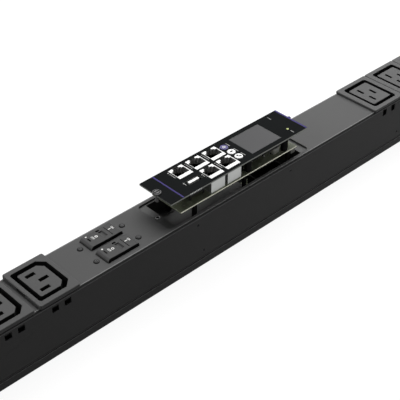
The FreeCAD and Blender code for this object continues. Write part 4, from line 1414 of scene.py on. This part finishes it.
def jack_contacts(node, tree, details):
    """Gilt wires that rise from a jack's floor and lean into its mouth."""
    low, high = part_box(node)
    middle = middle_of(node)
    first = middle.x - details.contact_pitch * (details.contacts - 1) / 2
    near = middle.y - 2.75 * MM
    points = [
        (first, near, low.z + 2.5 * MM),
        (first, near, high.z - 3.4 * MM),
        (first, near + 0.5 * MM, high.z - 3.0 * MM),
        (first, near + 3.0 * MM, low.z + 4.0 * MM),
    ]
    name = node + "_contacts"
    values = {
        "Count": details.contacts, "Pitch": details.contact_pitch, "Wire radius": details.contact_wire,
    }
    row = grow(name, tree, path_mesh(name + "_path", points), contact_gold, values)
    settle(row, "controller", "contact_brass")


class KeysOperator(bpy.types.Operator):
    """Finish the keys, their marks and their switches"""

    bl_idname = "power_unit.keys"
    bl_label = "Keys"

    def execute(self, context):
        edges = context.scene.unit_edges
        depth = context.scene.unit_details.print_depth
        for number, maker in ((1, key_violet), (2, key_white), (3, key_white)):
            dress("button_%d" % number, edges.small, maker)
        power = [(ring_shell(1.2 * MM, 0.75 * MM, depth), (0, 0)), (bar(1.3, 0.6, depth), (0.7, 0))]
        stop = [(bar(2.4, 1.25, depth), (0, 0))]
        tick = [(prism_shell(in_mm(TICK), 0, depth), (0, 0))]
        key_mark(1, power, white_ink)
        key_mark(2, stop, dark_ink)
        key_mark(3, tick, dark_ink)
        coat(black_plastic, "button_switches")
        return {"FINISHED"}


def key_mark(number, shells, maker):
    """A mark printed on the middle of a key."""
    node = "button_%d" % number
    name = node + "_mark"
    lay(name, joined(name, shells), maker, node, crown_of(node))


class DisplayOperator(bpy.types.Operator):
    """Finish the display and the status lamp"""

    bl_idname = "power_unit.display"
    bl_label = "Display"

    def execute(self, context):
        edges = context.scene.unit_edges
        dress("display_window", edges.small, screen_glass)
        coat(black_plastic, "display_panel")
        dress("light_pipe", edges.small, lamp_lens)
        return {"FINISHED"}


class BoardOperator(bpy.types.Operator):
    """Finish the module's board and fit its small parts"""

    bl_idname = "power_unit.board"
    bl_label = "Board"

    def execute(self, context):
        edges = context.scene.unit_edges
        board = dress("main_board", edges.board, board_mask, board_edge)
        pick_finish(board, lambda centre, normal: abs(normal.y) > 0.9, board_edge)
        dress("board_standoffs", edges.shell, black_plastic)
        dress("guide_legs", edges.shell, black_plastic)
        coat(black_plastic, "board_plug")
        dress("board_parts", edges.shell, pale_plastic)
        fit_chips(context.scene.unit_details)
        return {"FINISHED"}


def chip_zones(z):
    """Free patches of the board, as faces in the frame."""
    patches = [(73, 109, -9, 13.5), (112, 118, -6, 14)]
    mesh = bpy.data.meshes.new("chip_zones")
    points = []
    faces = []
    for x0, x1, y0, y1 in patches:
        faces.append(range(len(points), len(points) + 4))
        points.extend((x * MM, y * MM, z) for x, y in [(x0, y0), (x1, y0), (x1, y1), (x0, y1)])
    mesh.from_pydata(points, [], [tuple(face) for face in faces])
    return mesh


def chip_shell(size_x, size_y, height):
    shell = prism_shell(rectangle(size_x, size_y), 0, height)
    bmesh.ops.bevel(shell, geom=shell.edges[:], offset=0.08 * MM, segments=1, affect="EDGES")
    return shell


def fit_chips(details):
    """Chip parts on the board's free patches: dark bodies, then their tinned ends on the same draws."""
    tree = chip_tree()
    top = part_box("main_board")[1].z
    body = [(chip_shell(1.4 * MM, 0.8 * MM, 0.5 * MM), (0, 0))]
    ends = [(chip_shell(0.4 * MM, 0.86 * MM, 0.56 * MM), (x, 0)) for x in (-0.75, 0.75)]
    for name, shells, maker, slot in (
        ("board_chip_bodies", body, black_plastic, "black_plastic"),
        ("board_chip_ends", ends, jack_tin, "jack_shell"),
    ):
        shape = joined(name + "_shape", shells)
        shape.shade_smooth()
        chip = placed(name + "_shape", shape)
        values = {"Chip": chip, "Gap": details.chip_gap, "Seed": details.seed}
        piece = grow(name, tree, chip_zones(top), maker, values)
        bpy.data.objects.remove(chip)
        settle(piece, "controller", slot)


class CaptiveScrewOperator(bpy.types.Operator):
    """Turn the captive screw, with its grip ribs and thread"""

    bl_idname = "power_unit.captive_screw"
    bl_label = "Captive screw"

    def execute(self, context):
        details = context.scene.unit_details
        grooved_screw(context.scene.unit_edges.small)
        grip_ribs(details.ribs)
        screw_thread(details.thread_pitch)
        return {"FINISHED"}


def grip_ribs(count):
    """Upright ribs round the captive screw's head."""
    low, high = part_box("captive_screw")
    middle = middle_of("captive_screw")
    thickness = 0.3 * MM
    rib = prism_shell(rectangle(thickness, 0.4 * MM), 0, 0.8 * MM)
    shifted(rib, ((high.x - low.x - thickness) / 2, 0, 0))
    values = {"Count": count, "Centre": (middle.x, middle.y, high.z - 1.2 * MM)}
    start = new_mesh("captive_rib", rib)
    ribs = grow("captive_screw_ribs", rib_ring_tree(), start, screw_steel, values)
    settle(ribs, "controller", "bright_steel")


def screw_thread(pitch):
    """The thread at the captive screw's foot."""
    middle = middle_of("captive_screw")
    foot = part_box("captive_screw")[0].z + 0.3 * MM
    values = {
        "Turns": 8.0, "Pitch": pitch, "Radius": 1.15 * MM, "Ridge": 0.2 * MM,
        "Foot": (middle.x, middle.y, foot),
    }
    start = bpy.data.meshes.new("captive_thread")
    thread = grow("captive_screw_thread", thread_tree(), start, screw_steel, values)
    settle(thread, "controller", "bright_steel")


def grooved_screw(width):
    """The captive screw, with a ring groove turned in its head and coloured black inside as painted shade.
    """
    node = "captive_screw"
    inner, outer = 1.9 * MM, 2.5 * MM
    skin = 0.05 * MM
    crown = crown_of(node)
    floor = crown.z - 0.5 * MM
    groove = shifted(ring_shell(outer, inner, 2 * MM), (crown.x, crown.y, floor))
    screw = dress(node, width, screw_steel, black_plastic, cutter=groove)

    def in_groove(centre, normal):
        reach = (centre - crown).to_2d().length
        in_ring = inner - skin < reach < outer + skin
        return in_ring and floor - 2 * skin < centre.z < crown.z - 3 * skin

    # Painted shade: the faces in the groove are black.
    pick_finish(screw, in_groove, black_plastic)


class StageOperator(bpy.types.Operator):
    """Set the floor, lamps, world and camera"""

    bl_idname = "power_unit.stage"
    bl_label = "Stage"

    def execute(self, context):
        scene = context.scene
        settings = scene.unit_stage
        scene.view_settings.view_transform = "Standard"
        stage_floor()
        stage_world(scene, settings.ambient)
        softbox("key_softbox", settings.key_power, (1.4, 1.0), (0.5, 0.5, 1.4))
        softbox("fill_softbox", settings.fill_power, (0.9, 0.9), (1.0, 0.3, 0.8))
        softbox("left_softbox", settings.left_power, (0.6, 0.6), (-1.0, 0.1, 0.8))
        stage_camera(scene, settings)
        return {"FINISHED"}


def seen_rays(graph):
    """1 for rays that show the backdrop: straight to the camera, or through a reflection or glass."""
    names = ("Is Camera Ray", "Is Glossy Ray", "Is Transmission Ray")
    camera, glossy, clear = [graph.node("ShaderNodeLightPath", output=name) for name in names]
    return (camera + glossy + clear).above(0.5)


def stage_floor():
    """A pale floor that shows white where it is lit and keeps the object's shadow."""
    width = 24.0
    drop = 0.05 * MM
    paper_grey = grey(0.16)
    glow_level = 0.92
    mesh = bpy.data.meshes.new("floor")
    mesh.from_pydata([(x, y, -drop) for x, y in rectangle(width, width)], [], [(0, 1, 2, 3)])
    material = bpy.data.materials.new("floor")
    material.use_nodes = True
    graph = Graph(material.node_tree)
    graph.tree.nodes.clear()
    grain = graph.node("ShaderNodeTexNoise", None, {"Scale": 40.0, "Detail": 2.0})
    paper = graph.node("ShaderNodeBsdfDiffuse", None, {"Color": paper_grey, "Roughness": grain})
    strength = glow_level * seen_rays(graph)
    glow = graph.node("ShaderNodeEmission", None, {"Color": (1.0, 1.0, 1.0), "Strength": strength})
    both = graph.node("ShaderNodeAddShader", None, {0: paper, 1: glow})
    graph.node("ShaderNodeOutputMaterial", None, {"Surface": both}, None)
    floor = placed("floor", mesh)
    mesh.materials.append(material)
    return floor


def stage_world(scene, ambient):
    """Even white light from all round, which is full white to rays that show the backdrop."""
    world = bpy.data.worlds.new("studio")
    world.use_nodes = True
    graph = Graph(world.node_tree)
    graph.tree.nodes.clear()
    seen = seen_rays(graph)
    strength = ambient + seen * (1.0 - ambient)
    light = graph.node("ShaderNodeBackground", None, {"Color": (1.0, 1.0, 1.0), "Strength": strength})
    graph.node("ShaderNodeOutputWorld", None, {"Surface": light}, None)
    scene.world = world


def softbox(name, power, size, place):
    """A soft lamp that faces the origin."""
    data = bpy.data.lights.new(name, "AREA")
    data.shape = "RECTANGLE"
    data.size, data.size_y = size
    data.energy = power
    lamp = bpy.data.objects.new(name, data)
    lamp.location = place
    lamp.rotation_euler = (-Vector(place)).to_track_quat("-Z", "Y").to_euler()
    bpy.context.scene.collection.objects.link(lamp)


def stage_camera(scene, settings):
    data = bpy.data.cameras.new("camera")
    data.lens = settings.lens
    data.clip_start = 0.01
    camera = bpy.data.objects.new("camera", data)
    level = math.cos(settings.elevation)
    back = Vector((
        math.sin(settings.azimuth) * level,
        -math.cos(settings.azimuth) * level,
        math.sin(settings.elevation),
    ))
    camera.location = Vector(settings.target) + back * settings.distance
    camera.rotation_euler = (-back).to_track_quat("-Z", "Y").to_euler()
    scene.collection.objects.link(camera)
    scene.camera = camera


class PowerUnitPanel(bpy.types.Panel):
    """Sizes, colours and steps of the power unit"""

    bl_idname = "VIEW3D_PT_power_unit"
    bl_label = "Power unit"
    bl_space_type = "VIEW_3D"
    bl_region_type = "UI"
    bl_category = "Power unit"

    def draw(self, context):
        for operator in OPERATORS:
            self.layout.operator(operator.bl_idname)
        for name in SETTINGS:
            group = getattr(context.scene, name)
            for key in group.bl_rna.properties.keys():
                if key not in ("rna_type", "name"):
                    self.layout.prop(group, key)


SETTINGS = {
    "unit_finish": FinishSettings,
    "unit_edges": EdgeSettings,
    "unit_details": DetailSettings,
    "unit_stage": StageSettings,
}
OPERATORS = [
    CaseOperator,
    FixingsOperator,
    OutletsOperator,
    BreakersOperator,
    GlandOperator,
    BayOperator,
    FacePlateOperator,
    JacksOperator,
    KeysOperator,
    DisplayOperator,
    BoardOperator,
    CaptiveScrewOperator,
    StageOperator,
]


def register():
    for name, group in SETTINGS.items():
        bpy.utils.register_class(group)
        setattr(bpy.types.Scene, name, PointerProperty(type=group))
    for item in [*OPERATORS, PowerUnitPanel]:
        bpy.utils.register_class(item)


def unregister():
    for item in reversed([*OPERATORS, PowerUnitPanel]):
        bpy.utils.unregister_class(item)
    for name, group in SETTINGS.items():
        delattr(bpy.types.Scene, name)
        bpy.utils.unregister_class(group)


def main():
    register()
    for operator in OPERATORS:
        group, step = operator.bl_idname.split(".")
        getattr(getattr(bpy.ops, group), step)()


if __name__ == "__main__":
    main()
